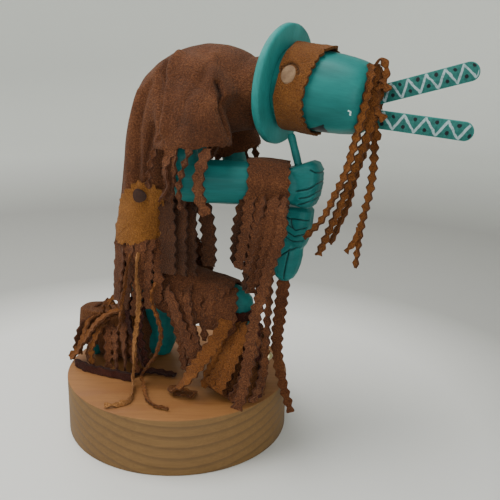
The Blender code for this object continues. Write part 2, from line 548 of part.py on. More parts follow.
def make_robe():
    """The suede robe with its sleeves, its fringes and the panels that hang inside its hem."""
    suede = material("brown_suede", BROWN_SUEDE)
    neck = length_of(CARVED_TORSO)
    robe = limb("suede_robe", between(CARVED_TORSO, ROBE_HEM, neck - ROBE_NECK), 16, CLOTH, suede, last=AHEAD)
    fuse(robe, [limb("near_sleeve", NEAR_SLEEVE, last=SLEEVE_FALL), limb("far_sleeve", FAR_SLEEVE)])
    inside = limb("robe_inside", between(CARVED_TORSO, 0, neck + 5), 16, CLOTH - SUEDE, last=AHEAD)
    fuse(robe, strips("sleeve_strip", SLEEVE_STRIPS) + strips("far_sleeve_strip", FAR_SLEEVE_STRIPS, PLAIN_STEP)
         + strips("hem_strip", HEM_STRIPS, PLAIN_STEP) + strips("far_hem_strip", FAR_HEM_STRIPS, PLAIN_STEP)
         + strips("panel", PANELS), "MANIFOLD")
    carve(robe, [inside,
                 limb("near_sleeve_inside", between(NEAR_SLEEVE, 0, length_of(NEAR_SLEEVE) + 3), grow=-SUEDE,
                      last=SLEEVE_FALL),
                 limb("far_sleeve_inside", between(FAR_SLEEVE, 0, length_of(FAR_SLEEVE) + 3), grow=-SUEDE)]
          + body_cutters(CUFF_GAP), "MANIFOLD")


def make_patch():
    centre = Vector((0, 0, 0))
    across = UP.cross(NEAR_BACK)
    shell = CLOTH + GAP
    patch = limb("hip_patch", CARVED_TORSO, 16, shell + SUEDE, material("ochre_suede", OCHRE_SUEDE), last=AHEAD)
    carve(patch, [limb("patch_inside", CARVED_TORSO, 16, shell, last=AHEAD)])
    keep(patch, [prism("patch_outline", pinked(PATCH_OUTLINE), centre, across, UP, NEAR_BACK, 80, 12)])
    shell += SUEDE + GAP
    button = limb("patch_button", CARVED_TORSO, 16, shell + BUTTON_THICKNESS,
                  material("dark_leather", DARK_BROWN), last=AHEAD)
    carve(button, [limb("patch_button_inside", CARVED_TORSO, 16, shell, last=AHEAD)])
    s, z = PATCH_BUTTON
    disc = [(s + BUTTON_RADIUS * math.cos(math.pi * k / 8), z + BUTTON_RADIUS * math.sin(math.pi * k / 8))
            for k in range(16)]
    keep(button, [prism("patch_button_outline", disc, centre, across, UP, NEAR_BACK, 80)])


def make_wraps():
    """The leather wrapped round the limbs, and the laces that hang free."""
    brown, ochre = material("brown_suede", BROWN_SUEDE), material("ochre_suede", OCHRE_SUEDE)
    red = material("red_brown_leather", RED_BROWN)
    cuff("forearm_drape", NEAR_FOREARM, 47, 70, brown, strips("forearm_strip", FOREARM_STRIPS)
         + strips("forearm_under_strip", FOREARM_UNDER_STRIPS, PLAIN_STEP))
    cuff("far_forearm_drape", FAR_FOREARM, 24, 46, brown, strips("far_strip", FAR_STRIPS, PLAIN_STEP))
    drape = cuff("thigh_drape", NEAR_THIGH, 20, 64, brown, strips("thigh_strip", THIGH_STRIPS))
    carve(drape, [limb("clear_near_shin", NEAR_SHIN, grow=CUFF_GAP)])
    garter = cuff("knee_garter", NEAR_SHIN, 4.5, 10.5, red)
    legging = cuff("legging", NEAR_SHIN, 13.4, 21, ochre, strips("legging_strip", LEGGING_STRIPS)
                   + strips("far_legging_strip", FAR_LEGGING_STRIPS, PLAIN_STEP))
    above = limb("clear_drape", NEAR_THIGH, grow=CUFF_GAP + SUEDE + GAP * 2)
    carve(garter, [above])
    carve(legging, [above])
    boot = fuse(limb("boot", BOOT, finish=brown), [limb("boot_heel", BOOT_HEEL, squareness=0.7)])
    fuse(boot, strips("boot_strip", BOOT_STRIPS))
    carve(boot, [limb("clear_shin", FAR_SHIN, grow=CUFF_GAP), limb("clear_foot", FAR_FOOT, grow=CUFF_GAP),
                 limb("clear_thigh", FAR_THIGH, grow=CUFF_GAP)])
    strip("boot_sole", BOOT_SOLE, 4.5, NEAR, NEAR, red, 3.0, step=PLAIN_STEP)
    strip("boot_tongue", BOOT_TONGUE, 6.5, UP, UP, red)
    strip("pale_lace", PALE_LACE, 3.4, NEAR_BACK, UP, ochre, step=PLAIN_STEP)
    strip("brown_lace", BROWN_LACE, 3.4, NEAR_BACK, UP, ochre, step=PLAIN_STEP)
    strip("hanging_strip", HANGING_STRIP, 7.6, NEAR, NEAR_FRONT, brown, taper=0.55)


def make_hair():
    hair = limb("hair", HAIR_KNOT, 10, finish=material("ochre_suede", OCHRE_SUEDE))
    fuse(hair, strips("hair_strip", HAIR_STRIPS))
    carve(hair, [turned("clear_mask", mask_profile(GAP), 28), slat("clear_upper", *UPPER_STICK, GAP),
                 slat("clear_lower", *LOWER_STICK, GAP)])


def make_bells():
    strip("bell_lace", BELL_LACE, 2.0, NEAR_FRONT, NEAR_FRONT, material("red_brown_leather", RED_BROWN), 1.0,
          step=PLAIN_STEP)
    for k, centre in enumerate(BELLS):
        rings = []
        for j in range(5):
            turn = math.pi * (j + 0.5) / 5
            radius = BELL_RADIUS * math.sin(turn)
            rings.append(ring(centre - UP * BELL_RADIUS * math.cos(turn), UP, FRONT, radius, radius, 10))
        bell = mesh_object(f"jingle_bell_{k + 1}", *bridge(rings), material("brass", BRASS))
        slot = [(a * BELL_RADIUS * 1.2, b) for a, b in ((-1, -0.3), (1, -0.3), (1, 0.3), (-1, 0.3))]
        carve(bell, [prism(f"bell_slot_{k + 1}", slot, centre, FRONT, FAR, -UP, BELL_RADIUS * 1.2, BELL_RADIUS / 4)])


def main():
    clear_scene()
    make_base()
    make_figure()
    make_head()
    make_mask_band()
    make_robe()
    make_patch()
    make_wraps()
    make_hair()
    make_bells()


main()
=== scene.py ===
import math

import bmesh
import bpy
import numpy as np
from mathutils import Matrix, Vector


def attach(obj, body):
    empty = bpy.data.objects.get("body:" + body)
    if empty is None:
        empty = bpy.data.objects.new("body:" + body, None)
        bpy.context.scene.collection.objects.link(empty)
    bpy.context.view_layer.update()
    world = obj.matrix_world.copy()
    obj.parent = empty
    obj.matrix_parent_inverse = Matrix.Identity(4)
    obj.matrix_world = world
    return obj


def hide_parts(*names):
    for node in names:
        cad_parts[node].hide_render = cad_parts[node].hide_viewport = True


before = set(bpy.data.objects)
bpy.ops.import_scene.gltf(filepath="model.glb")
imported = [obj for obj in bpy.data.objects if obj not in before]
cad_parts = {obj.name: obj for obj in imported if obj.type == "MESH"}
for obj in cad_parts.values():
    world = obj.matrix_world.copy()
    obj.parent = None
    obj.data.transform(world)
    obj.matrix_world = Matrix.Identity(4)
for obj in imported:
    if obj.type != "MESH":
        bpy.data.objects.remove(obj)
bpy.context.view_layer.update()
print("frame loaded:", len(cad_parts), "nodes")

# Lengths below are in millimetres and turn into metres when a mesh is made.
# The figure's own points are measured from the top of the base.
mm = 0.001
baseTop = 38.0
near = Vector((0, -1, 0))
far = Vector((0, 1, 0))
front = Vector((1, 0, 0))
back = Vector((-1, 0, 0))
up = Vector((0, 0, 1))
nearBack = Vector((-0.45, -0.89, 0)).normalized()
nearFront = Vector((0.5, -0.87, 0)).normalized()


# Shader and geometry node wiring

def maths(operation, swapped=False):
    # a method that puts one maths node on a wire
    def method(self, other=0.0):
        first, second = (other, self) if swapped else (self, other)
        return self.add("ShaderNodeMath", {"operation": operation}, {0: first, 1: second})
    return method


class Wire:
    __add__, __radd__ = maths("ADD"), maths("ADD", True)
    __sub__, __rsub__ = maths("SUBTRACT"), maths("SUBTRACT", True)
    __mul__, __truediv__ = maths("MULTIPLY"), maths("DIVIDE")
    __gt__, __lt__ = maths("GREATER_THAN"), maths("LESS_THAN")
    root, size, fraction = maths("SQRT"), maths("ABSOLUTE"), maths("FRACT")

    def __init__(self, tree, socket=None):
        self.tree = tree
        self.socket = socket

    def add(self, kind, settings=None, sockets=None, out=0):
        node = self.tree.nodes.new(kind)
        for key, value in (settings or {}).items():
            setattr(node, key, value)
        for key, value in (sockets or {}).items():
            if isinstance(value, Wire):
                self.tree.links.new(value.socket, node.inputs[key])
            else:
                node.inputs[key].default_value = value
        return Wire(self.tree, node.outputs[out])

    def vectorMaths(self, operation, sockets, out=0):
        return self.add("ShaderNodeVectorMath", {"operation": operation}, {0: self, **sockets}, out)

    def part(self, letter):
        return self.add("ShaderNodeSeparateXYZ", sockets={0: self}, out="XYZ".index(letter))

    def along(self, way):
        return self.vectorMaths("DOT_PRODUCT", {1: tuple(way)}, "Value")

    def scaled(self, amount):
        return self.vectorMaths("SCALE", {"Scale": amount})

    def plus(self, other):
        return self.vectorMaths("ADD", {1: other})

    def ramp(self, *stops):
        made = self.add("ShaderNodeValToRGB", sockets={0: self})
        elements = made.socket.node.color_ramp.elements
        elements.remove(elements[1])
        for k, (place, colour) in enumerate(stops):
            element = elements.new(place) if k else elements[0]
            element.position = place
            element.color = (*colour, 1.0)
        return made

    def step(self, low, high):
        return self.add("ShaderNodeMapRange", sockets={0: self, 1: low, 2: high})

    def between(self, first, second):
        return self.add("ShaderNodeMix", {"data_type": "RGBA"}, {0: self, 6: first, 7: second}, 2)

    def noise(self, scale, detail=2.0, roughness=0.5):
        sockets = {"Vector": self, "Scale": scale, "Detail": detail, "Roughness": roughness}
        return self.add("ShaderNodeTexNoise", sockets=sockets, out="Fac")

    def stretched(self, turn, share):
        return self.add("ShaderNodeMapping", {"vector_type": "TEXTURE"},
                        {0: self, 2: turn, 3: (share, 1.0, 1.0)})

    def attribute(self, name):
        return self.add("ShaderNodeAttribute", {"attribute_name": name}, out="Fac")


def colour(red, green, blue):
    # a colour as the eye reads it, 0 to 255, in the light values that the shader takes
    return tuple((c / 255 / 12.92) if c <= 10 else ((c / 255 + 0.055) / 1.055) ** 2.4
                 for c in (red, green, blue))


def colour4(*rgb):
    return (*colour(*rgb), 1.0)


def newMaterial(name, **fixed):
    # a material, the wire of its object's own coordinates, and its shader
    made = bpy.data.materials.new(name)
    made.use_nodes = True
    shader = made.node_tree.nodes["Principled BSDF"]
    for key, value in fixed.items():
        shader.inputs[key.replace("_", " ")].default_value = value
    return made, Wire(made.node_tree).add("ShaderNodeTexCoord", out="Object"), shader


def plug(place, shader, baseColour, roughness=None, height=None, strength=0.5, distance=0.0004):
    links = place.tree.links
    links.new(baseColour.socket, shader.inputs["Base Color"])
    if roughness:
        links.new(roughness.socket, shader.inputs["Roughness"])
    if height:
        bump = place.add("ShaderNodeBump", sockets={"Strength": strength, "Distance": distance,
                                                    "Height": height})
        links.new(bump.socket, shader.inputs["Normal"])


# each hide: its slot, its dark, middle, light and cut-edge colours, and how patchy, speckled and sheeny it is
hideTones = {
    "brownSuede": ("brown_suede", (34, 17, 8), (82, 46, 25), (128, 80, 48), (74, 41, 23)),
    "darkSuede": ("brown_suede", (24, 12, 6), (58, 32, 17), (92, 55, 31), (52, 28, 15)),
    "ochreSuede": ("ochre_suede", (76, 43, 14), (122, 76, 30), (158, 106, 50), (104, 64, 24)),
    "strapSuede": ("ochre_suede", (62, 34, 11), (102, 60, 23), (138, 88, 40), (88, 52, 19)),
    "tanSuede": ("ochre_suede", (60, 30, 11), (104, 60, 24), (142, 88, 40), (82, 46, 19)),
    "paleSuede": ("ochre_suede", (88, 52, 26), (138, 92, 50), (178, 130, 80), (116, 76, 40)),
    "ochreBrownSuede": ("ochre_suede", (44, 23, 9), (84, 48, 22), (120, 76, 38), (66, 37, 16)),
    "reddishSuede": ("brown_suede", (46, 22, 11), (90, 50, 26), (124, 76, 42), (72, 40, 21)),
    "redLeather": ("red_brown_leather", (26, 9, 6), (52, 20, 12), (80, 35, 22), (36, 14, 9), 0.7, 0.7, 0.04)}


def suede(name, dark, middle, light, rim, patch=0.6, speck=0.75, sheen=0.05):
    made, place, shader = newMaterial(name, Roughness=0.95, Sheen_Weight=sheen, Sheen_Roughness=0.5,
                                      Specular_IOR_Level=0.2, Sheen_Tint=(0.9, 0.72, 0.6, 1.0))
    brushed = place.noise(46, 3, 0.55)
    nap = place.noise(1100, 1, 0.5)
    fibre = place.noise(2600, 2, 0.6)
    shade = (brushed - 0.5) * patch + (nap - 0.5) * speck + (fibre - 0.5) * 0.5 + 0.5
    skin = shade.ramp((0.1, colour(*dark)), (0.5, colour(*middle)), (0.92, colour(*light)))
    # painted shade: the marked fold valleys and the strap's slit get a darker colour
    creaseShade = place.attribute("grooveInkAndShade") * 0.8
    skin = creaseShade.between(skin, colour4(*(c * 0.3 for c in dark)))
    cut = place.attribute("acrossShare").size().step(0.88, 1.0)
    plug(place, shader, cut.between(skin, colour4(*rim)), None, nap * 0.8 + fibre * 0.35, 1.0, 0.0017)
    return made


hides = {name: suede(name, *tones) for name, (_, *tones) in hideTones.items()}


# brush marks: how long the fine and broad ones are, the waves to the metre of the broad ones and the patches,
# and how much the fine and the broad ones show
figureStrokes = (14.0, 5.0, 120, 26, 0.35, 0.45)
maskStrokes = (16.0, 6.0, 110, 24, 0.3, 0.5)


def brushwork(place, turn, strokes):
    fineLong, broadLong, broadScale, patchScale, fineShare, broadShare = strokes
    brush = place.stretched(turn, fineLong).noise(900, 3, 0.6)
    broad = place.stretched(turn, broadLong).noise(broadScale, 2, 0.5)
    patchy = place.noise(patchScale, 2, 0.5)
    shade = (brush - 0.5) * fineShare + (broad - 0.5) * broadShare + (patchy - 0.5) * 0.6 + 0.5
    return brush, broad, shade


def paintedWood(name, turn, dark=(3, 66, 66), light=(16, 112, 108)):
    made, place, shader = newMaterial(name, Specular_IOR_Level=0.22)
    brush, broad, shade = brushwork(place, turn, figureStrokes)
    paint = shade.ramp((0.2, colour(*dark)), (0.8, colour(*light)))
    paint = place.attribute("grooveInkAndShade").step(0.25, 0.95).between(paint, colour4(3, 24, 25))
    plug(place, shader, paint, 0.62 - (broad * 0.22), brush * 0.5 + broad * 0.6, 0.35, 0.0004)
    return made


# the pine's grain: its way, the way across it, its slope, the place of the tree's heart, and a ring's width
pineGrain = {"along": (0.906, 0.423, 0.0), "across": (-0.423, 0.906, 0.0), "turn": (0, 0, 0.437),
             "slope": 0.035, "heart": (0.012, 0.128), "ring": 0.0062, "top": (0.0374, 0.0379),
             "ringTones": ((0.0, 0.0), (0.55, 0.12), (0.86, 1.0), (0.93, 0.7), (1.0, 0.0))}


def pineWood():
    # growth rings lie round an axis under the board, which gives the side its dipping bands
    made, place, shader = newMaterial("pineWood", Specular_IOR_Level=0.35)
    g = pineGrain
    sway = (place.stretched(g["turn"], 5.0).noise(22, 2, 0.5) - 0.5) * 0.0075
    aside, below = g["heart"]
    lift = place.part("Z") + place.along(g["along"]) * g["slope"] + below + sway
    side = place.along(g["across"]) + aside
    ring = ((side * side + lift * lift).root() / g["ring"]).fraction()
    band = ring.ramp(*((spot, (tone,) * 3) for spot, tone in g["ringTones"])).part("X")
    fibre = place.stretched(g["turn"], 30.0).noise(1300, 3, 0.6)
    pores = place.stretched(g["turn"], 12.0).noise(420, 2, 0.5)
    patchy = place.noise(14, 2, 0.5)
    tone = (fibre - 0.5) * 0.5 + (pores - 0.5) * 0.35 + (patchy - 0.5) * 0.5 + 0.5
    # painted light: the side gets a darker, duller colour and the top a warmer, lighter one, as the warmer
    # light falls on the top
    shadedSideSkin = tone.ramp((0.1, colour(90, 64, 32)), (0.9, colour(124, 94, 54)))
    shadedSideSkin = (band * 0.5).between(shadedSideSkin, colour4(68, 46, 21))
    litTopSkin = tone.ramp((0.1, colour(102, 63, 28)), (0.9, colour(148, 101, 54)))
    litTopSkin = (band * 0.3).between(litTopSkin, colour4(106, 60, 26))
    skin = place.part("Z").step(*g["top"]).between(shadedSideSkin, litTopSkin)
    plug(place, shader, skin, 0.72 - (band * 0.12), fibre * 0.5 + pores * 0.5, 0.3, 0.0003)
    return made


def stickPaint(pitch, firstPeak):
    # the pattern follows the stick: its length and width are in the attributes
    made, place, shader = newMaterial("stickPaint", Specular_IOR_Level=0.25)
    s = crestSticks
    wobble = place.noise(260, 2, 0.5) - 0.5
    length = (place.attribute("alongWay") - firstPeak * mm) / (pitch * mm) + wobble * 0.16
    width = place.attribute("acrossShare") + wobble * 0.3
    fromPeak = (length + 0.5).fraction() - 0.5
    fromDip = length.fraction() - 0.5
    brush = place.noise(700, 2, 0.5)
    peak, halfLine = s["zigzag"]
    line = 1 - ((width - peak + fromPeak.size() * (4 * peak)).size() - halfLine).step(0.0, 0.09)
    line = line * (brush.step(0.32, 0.5) * 0.45 + 0.55)
    dots = []
    for ahead, rise in ((fromPeak * pitch, s["lowDot"]), (fromDip * pitch, s["highDot"])):
        high = width * (s["width"] / 2) + rise
        dots.append((ahead * ahead + high * high).root() < s["dot"])
    onFace = place.attribute("faceShare")
    paint = brush.ramp((0.3, colour(22, 78, 73)), (0.7, colour(34, 101, 94)))
    paint = (line * onFace * 0.85).between(paint, colour4(156, 176, 178))
    paint = ((dots[0] + dots[1]) * onFace).between(paint, colour4(10, 14, 22))
    paint = ((1 - onFace) * 0.8).between(paint, colour4(28, 124, 117))
    plug(place, shader, paint, 0.6 - (brush * 0.15), brush * 0.5 + line * 0.8, 0.35, 0.0003)
    return made


def insideOf(first, second, corners):
    # 1 where two lengths lie within a three-cornered mark
    inside = None
    for k, (x0, y0) in enumerate(corners):
        x1, y1 = corners[(k + 1) % len(corners)]
        side = (first - x0 * mm) * (y1 - y0) - (second - y0 * mm) * (x1 - x0)
        inside = (side > 0.0) * (inside if inside else 1.0)
    return inside


def maskPaint(turn):
    # the same paint as the figure's, with a black mark on the underside and a small chip
    made, place, shader = newMaterial("maskPaint", Specular_IOR_Level=0.22)
    brush, broad, shade = brushwork(place, turn, maskStrokes)
    paint = shade.ramp((0.2, colour(8, 76, 74)), (0.8, colour(28, 124, 119)))
    ragged = (place.noise(500, 2, 0.5) - 0.5) * 0.0022
    forward = place.attribute("aheadWay") + ragged
    roundWay = place.attribute("turnWay") - ragged
    paint = insideOf(forward, roundWay, maskMark["triangle"]).between(paint, colour4(16, 20, 22))
    x, y, cosine, sine, halfLong, halfWide = maskMark["chip"]
    along = (forward - x * mm) * cosine + (roundWay - y * mm) * sine
    aside = (forward - x * mm) * sine - (roundWay - y * mm) * cosine
    chip = (along * along / (halfLong * mm) ** 2 + aside * aside / (halfWide * mm) ** 2) < 1.0
    paint = chip.between(paint, colour4(200, 222, 214))
    plug(place, shader, paint, 0.6 - (broad * 0.25), brush * 0.5 + broad * 0.6, 0.3, 0.0004)
    return made


def brassMetal():
    made, place, shader = newMaterial("bellBrass", Metallic=1.0)
    dull = place.noise(420, 3, 0.6)
    skin = dull.ramp((0.25, colour(120, 104, 66)), (0.7, colour(206, 196, 158)))
    plug(place, shader, skin, 0.2 + dull * 0.35, dull, 0.2, 0.0001)
    return made


def smoothLeather(name, dark, light):
    made, place, shader = newMaterial(name, Specular_IOR_Level=0.22)
    grain = place.add("ShaderNodeTexVoronoi", {"feature": "F1"}, {"Vector": place, "Scale": 1300}, "Distance")
    patchy = place.noise(260, 3, 0.6)
    skin = ((patchy - 0.5) * 1.2 + 0.5 - grain * 0.2).ramp((0.1, colour(*dark)), (0.9, colour(*light)))
    plug(place, shader, skin, 0.6 + patchy * 0.3, grain * 0.6 + patchy * 0.4, 0.4, 0.0003)
    return made


# Mesh making

def place(point):
    # a point of the figure, in millimetres above the base, in metres
    return Vector((point[0], point[1], point[2] + baseTop)) * mm


def newMesh(name, points, faces, smooth=True, outward=True):
    mesh = bpy.data.meshes.new(name)
    mesh.from_pydata([tuple(p) for p in points], [], faces)
    if outward:
        form = bmesh.new()
        form.from_mesh(mesh)
        bmesh.ops.recalc_face_normals(form, faces=form.faces)
        form.to_mesh(mesh)
        form.free()
    piece = bpy.data.objects.new(name, mesh)
    bpy.context.scene.collection.objects.link(piece)
    if smooth:
        mesh.shade_smooth()
    return piece


def settled(piece, sharp=None):
    # what the modifiers make becomes the piece's own plain mesh
    graph = bpy.context.evaluated_depsgraph_get()
    mesh = bpy.data.meshes.new_from_object(piece.evaluated_get(graph))
    piece.modifiers.clear()
    old, piece.data = piece.data, mesh
    bpy.data.meshes.remove(old)
    mesh.name = piece.name
    mesh.shade_smooth()
    if sharp:
        mesh.set_sharp_from_angle(angle=math.radians(sharp))


def joined(name, pieces):
    # several closed forms as one mesh, for the remesh that melts them together
    form = bmesh.new()
    for piece in pieces:
        old = piece.data
        form.from_mesh(old)
        bpy.data.objects.remove(piece)
        bpy.data.meshes.remove(old)
    mesh = bpy.data.meshes.new(name)
    form.to_mesh(mesh)
    form.free()
    made = bpy.data.objects.new(name, mesh)
    bpy.context.scene.collection.objects.link(made)
    return made


def melted(piece, grain, rounds):
    # one skin round joined forms: grain is the size of its squares, rounds how far its edges are worn
    cut = piece.modifiers.new("melt", "REMESH")
    cut.mode = "VOXEL"
    cut.voxel_size = grain * mm
    worn = piece.modifiers.new("wear", "SMOOTH")
    worn.factor = 0.5
    worn.iterations = rounds
    settled(piece)
    return piece


def vectorsOf(piece, key):
    ways = np.empty(len(piece.data.vertices) * 3, np.float32)
    piece.data.vertices.foreach_get(key, ways)
    return ways.reshape(-1, 3).astype(float)


def putCorners(piece, points):
    piece.data.vertices.foreach_set("co", points.astype(np.float32).ravel())
    piece.data.update()


def toLine(points, line):
    # how far each point is from a line of points
    best = np.full(len(points), np.inf)
    for a, b in zip(line, line[1:]):
        step = b - a
        share = np.clip((points - a) @ step / max(step @ step, 1e-12), 0, 1)
        best = np.minimum(best, np.linalg.norm(points - a - share[:, None] * step, axis=1))
    return best


def hump(points, piece, line, width, step):
    # 1 on a line over the piece's skin, falling to nought beside it
    return np.exp(-(toLine(points, onSkin(piece, line, step)) / (width * mm)) ** 2)


def mark(piece, name, values):
    layer = piece.data.attributes.new(name, "FLOAT", "POINT")
    layer.data.foreach_set("value", np.asarray(values, np.float32))


def onSkin(piece, line, step):
    # the line's points, closer together and brought to the nearest place on the piece
    line = [place(p) for p in line]
    fine = []
    for a, b in zip(line, line[1:]):
        count = max(1, round((b - a).length / (step * mm)))
        fine += [a.lerp(b, k / count) for k in range(count)]
    return np.array([tuple(piece.closest_point_on_mesh(p)[1]) for p in fine + line[-1:]])


def grooved(piece, lines, width, depth):
    # presses lines into a skin, and marks them for darker colour: the paint that stays in the hand's grooves,
    # and painted shadow along the strap's slit
    points = vectorsOf(piece, "co")
    pressed = np.max([hump(points, piece, line, width, 1.5) for line in lines], axis=0)
    putCorners(piece, points - vectorsOf(piece, "normal") * (pressed * depth * mm)[:, None])
    mark(piece, "grooveInkAndShade", pressed)


def folded(piece, folds, ripple, seed):
    # raises or sinks soft folds along lines: each is its points, its width, its height and how much painted
    # shade lies along it
    points = vectorsOf(piece, "co")
    lift = np.zeros(len(points))
    shade = np.zeros(len(points))
    for line, width, height, dark in folds:
        lift += height * hump(points, piece, line, width, 3.0)
        if dark:
            shade = np.maximum(shade, dark * hump(points, piece, line, width * 0.7, 3.0))
    lift += ripple * unrest(points, seed)
    putCorners(piece, points + vectorsOf(piece, "normal") * (lift * mm)[:, None])
    if shade.any():
        mark(piece, "grooveInkAndShade", shade)


def unrest(points, seed):
    # slow waves in three ways, the same ones each time, from -1 to 1
    maker = np.random.default_rng(seed)
    total = np.zeros(len(points))
    for k in range(7):
        way = maker.normal(size=3)
        way /= np.linalg.norm(way)
        total += np.sin(points @ way * (2 * math.pi / (maker.uniform(14, 34) * mm)) + maker.uniform(0, 6.28))
    return total / 7


def grid(rows, columns, start=0, closed=True, endless=False):
    # faces over rows of points: closed joins the last column to the first, endless the last row to the first
    faces = []
    for i in range(rows if endless else rows - 1):
        over = ((i + 1) % rows - i) * columns
        for k in range(columns if closed else columns - 1):
            a, b = start + i * columns + k, start + i * columns + (k + 1) % columns
            faces.append((a, b, b + over, a + over))
    return faces


def bridge(rings):
    # the points and faces of a closed skin over rings that have as many points each
    points = [p for ring in rings for p in ring]
    sides = len(rings[0])
    ends = [tuple(range(start, start + sides)) for start in (0, len(points) - sides)]
    return points, grid(len(rings), sides) + ends


def turns(count):
    return [2 * math.pi * k / count for k in range(count)]


def thickened(piece, thickness, sharp, offset=1.0, even=False):
    # an open skin gets the thickness of its hide
    wall = piece.modifiers.new("hide", "SOLIDIFY")
    wall.thickness = thickness * mm
    wall.offset = offset
    if not even:
        wall.use_even_offset = False
    settled(piece, sharp)


def ringOf(centre, along, widthWay, halfWidth, halfHeight, sides, squareness=1.0):
    along = along.normalized()
    across = (widthWay - along * widthWay.dot(along)).normalized()
    high = along.cross(across)
    points = []
    for k in range(sides):
        turn = 2 * math.pi * (k + 0.5) / sides
        c, s = math.cos(turn), math.sin(turn)
        c = math.copysign(abs(c) ** squareness, c)
        s = math.copysign(abs(s) ** squareness, s)
        points.append(centre + across * (halfWidth * c) + high * (halfHeight * s))
    return points


def headings(centres):
    ahead = centres[1:] + [centres[-1] * 2 - centres[-2]]
    behind = [centres[0] * 2 - centres[1]] + centres[:-1]
    return [(a - b).normalized() for a, b in zip(ahead, behind)]


def limb(name, stations, sides=14, grow=0.0, squareness=1.0, last=None):
    centres = [Vector(s[0]) for s in stations]
    ways = headings(centres)
    if last:
        ways[-1] = last
    rings = [[place(p) for p in ringOf(centre, along, far, s[1] + grow, s[2] + grow, sides, squareness)]
             for s, centre, along in zip(stations, centres, ways)]
    return newMesh(name, *bridge(rings))


def curved(p0, p1, p2, p3, t):
    # a point of a smooth curve between the second and the third knot
    return 0.5 * (2 * p1 + (p2 - p0) * t + (2 * p0 - 5 * p1 + 4 * p2 - p3) * t ** 2
                  + (3 * p1 - p0 - 3 * p2 + p3) * t ** 3)


def fours(knots):
    # every two neighbours, with the knots before and after them
    ends = [knots[0] * 2 - knots[1]] + knots + [knots[-1] * 2 - knots[-2]]
    return zip(ends, ends[1:], ends[2:], ends[3:])


def eased(stations, step):
    # more stations between those given, on a smooth curve through their middles and sizes
    knots = [np.array((*s[0], s[1], s[2]), float) for s in stations]
    made = []
    for four in fours(knots):
        count = max(1, round(float(np.linalg.norm((four[2] - four[1])[:3])) / step))
        made += [curved(*four, k / count) for k in range(count)]
    made.append(knots[-1])
    return [(Vector(p[:3]), p[3], p[4]) for p in made]


def distances(points):
    # how far along a line each of its points lies
    walked = [0.0]
    for a, b in zip(points, points[1:]):
        walked.append(walked[-1] + (Vector(b) - Vector(a)).length)
    return walked


def between(stations, start, end):
    # the stations of a stretch of a limb
    centres = [Vector(s[0]) for s in stations]
    walked = distances(centres)

    def at(distance):
        i = 0
        while i < len(walked) - 2 and walked[i + 1] < distance:
            i += 1
        share = (distance - walked[i]) / (walked[i + 1] - walked[i])
        a, b = stations[i], stations[i + 1]
        return (centres[i] + (centres[i + 1] - centres[i]) * share,
                *(a[k] + (b[k] - a[k]) * share for k in (1, 2)))

    inside = [s for s, distance in zip(stations, walked) if start + 1 < distance < end - 1]
    return [at(start)] + inside + [at(end)]


def spline(knots, step):
    # points about a step apart on a smooth curve through the knots
    knots = [Vector(k) for k in knots]
    fine = [curved(*four, k / 16) for four in fours(knots) for k in range(16)] + [knots[-1]]
    walked = distances(fine)
    count = max(2, round(walked[-1] / step))
    points, j = [], 0
    for k in range(count + 1):
        want = walked[-1] * k / count
        while j < len(fine) - 2 and walked[j + 1] < want:
            j += 1
        share = (want - walked[j]) / max(walked[j + 1] - walked[j], 1e-9)
        points.append(fine[j].lerp(fine[j + 1], min(1.0, share)))
    return points


# Strips cut with pinking shears: the tree gives a bare band its teeth, its curl and its thickness

def inputOf(tree, name, kind, value=None):
    made = tree.interface.new_socket(name, in_out="INPUT", socket_type=kind)
    if value is not None:
        made.default_value = value


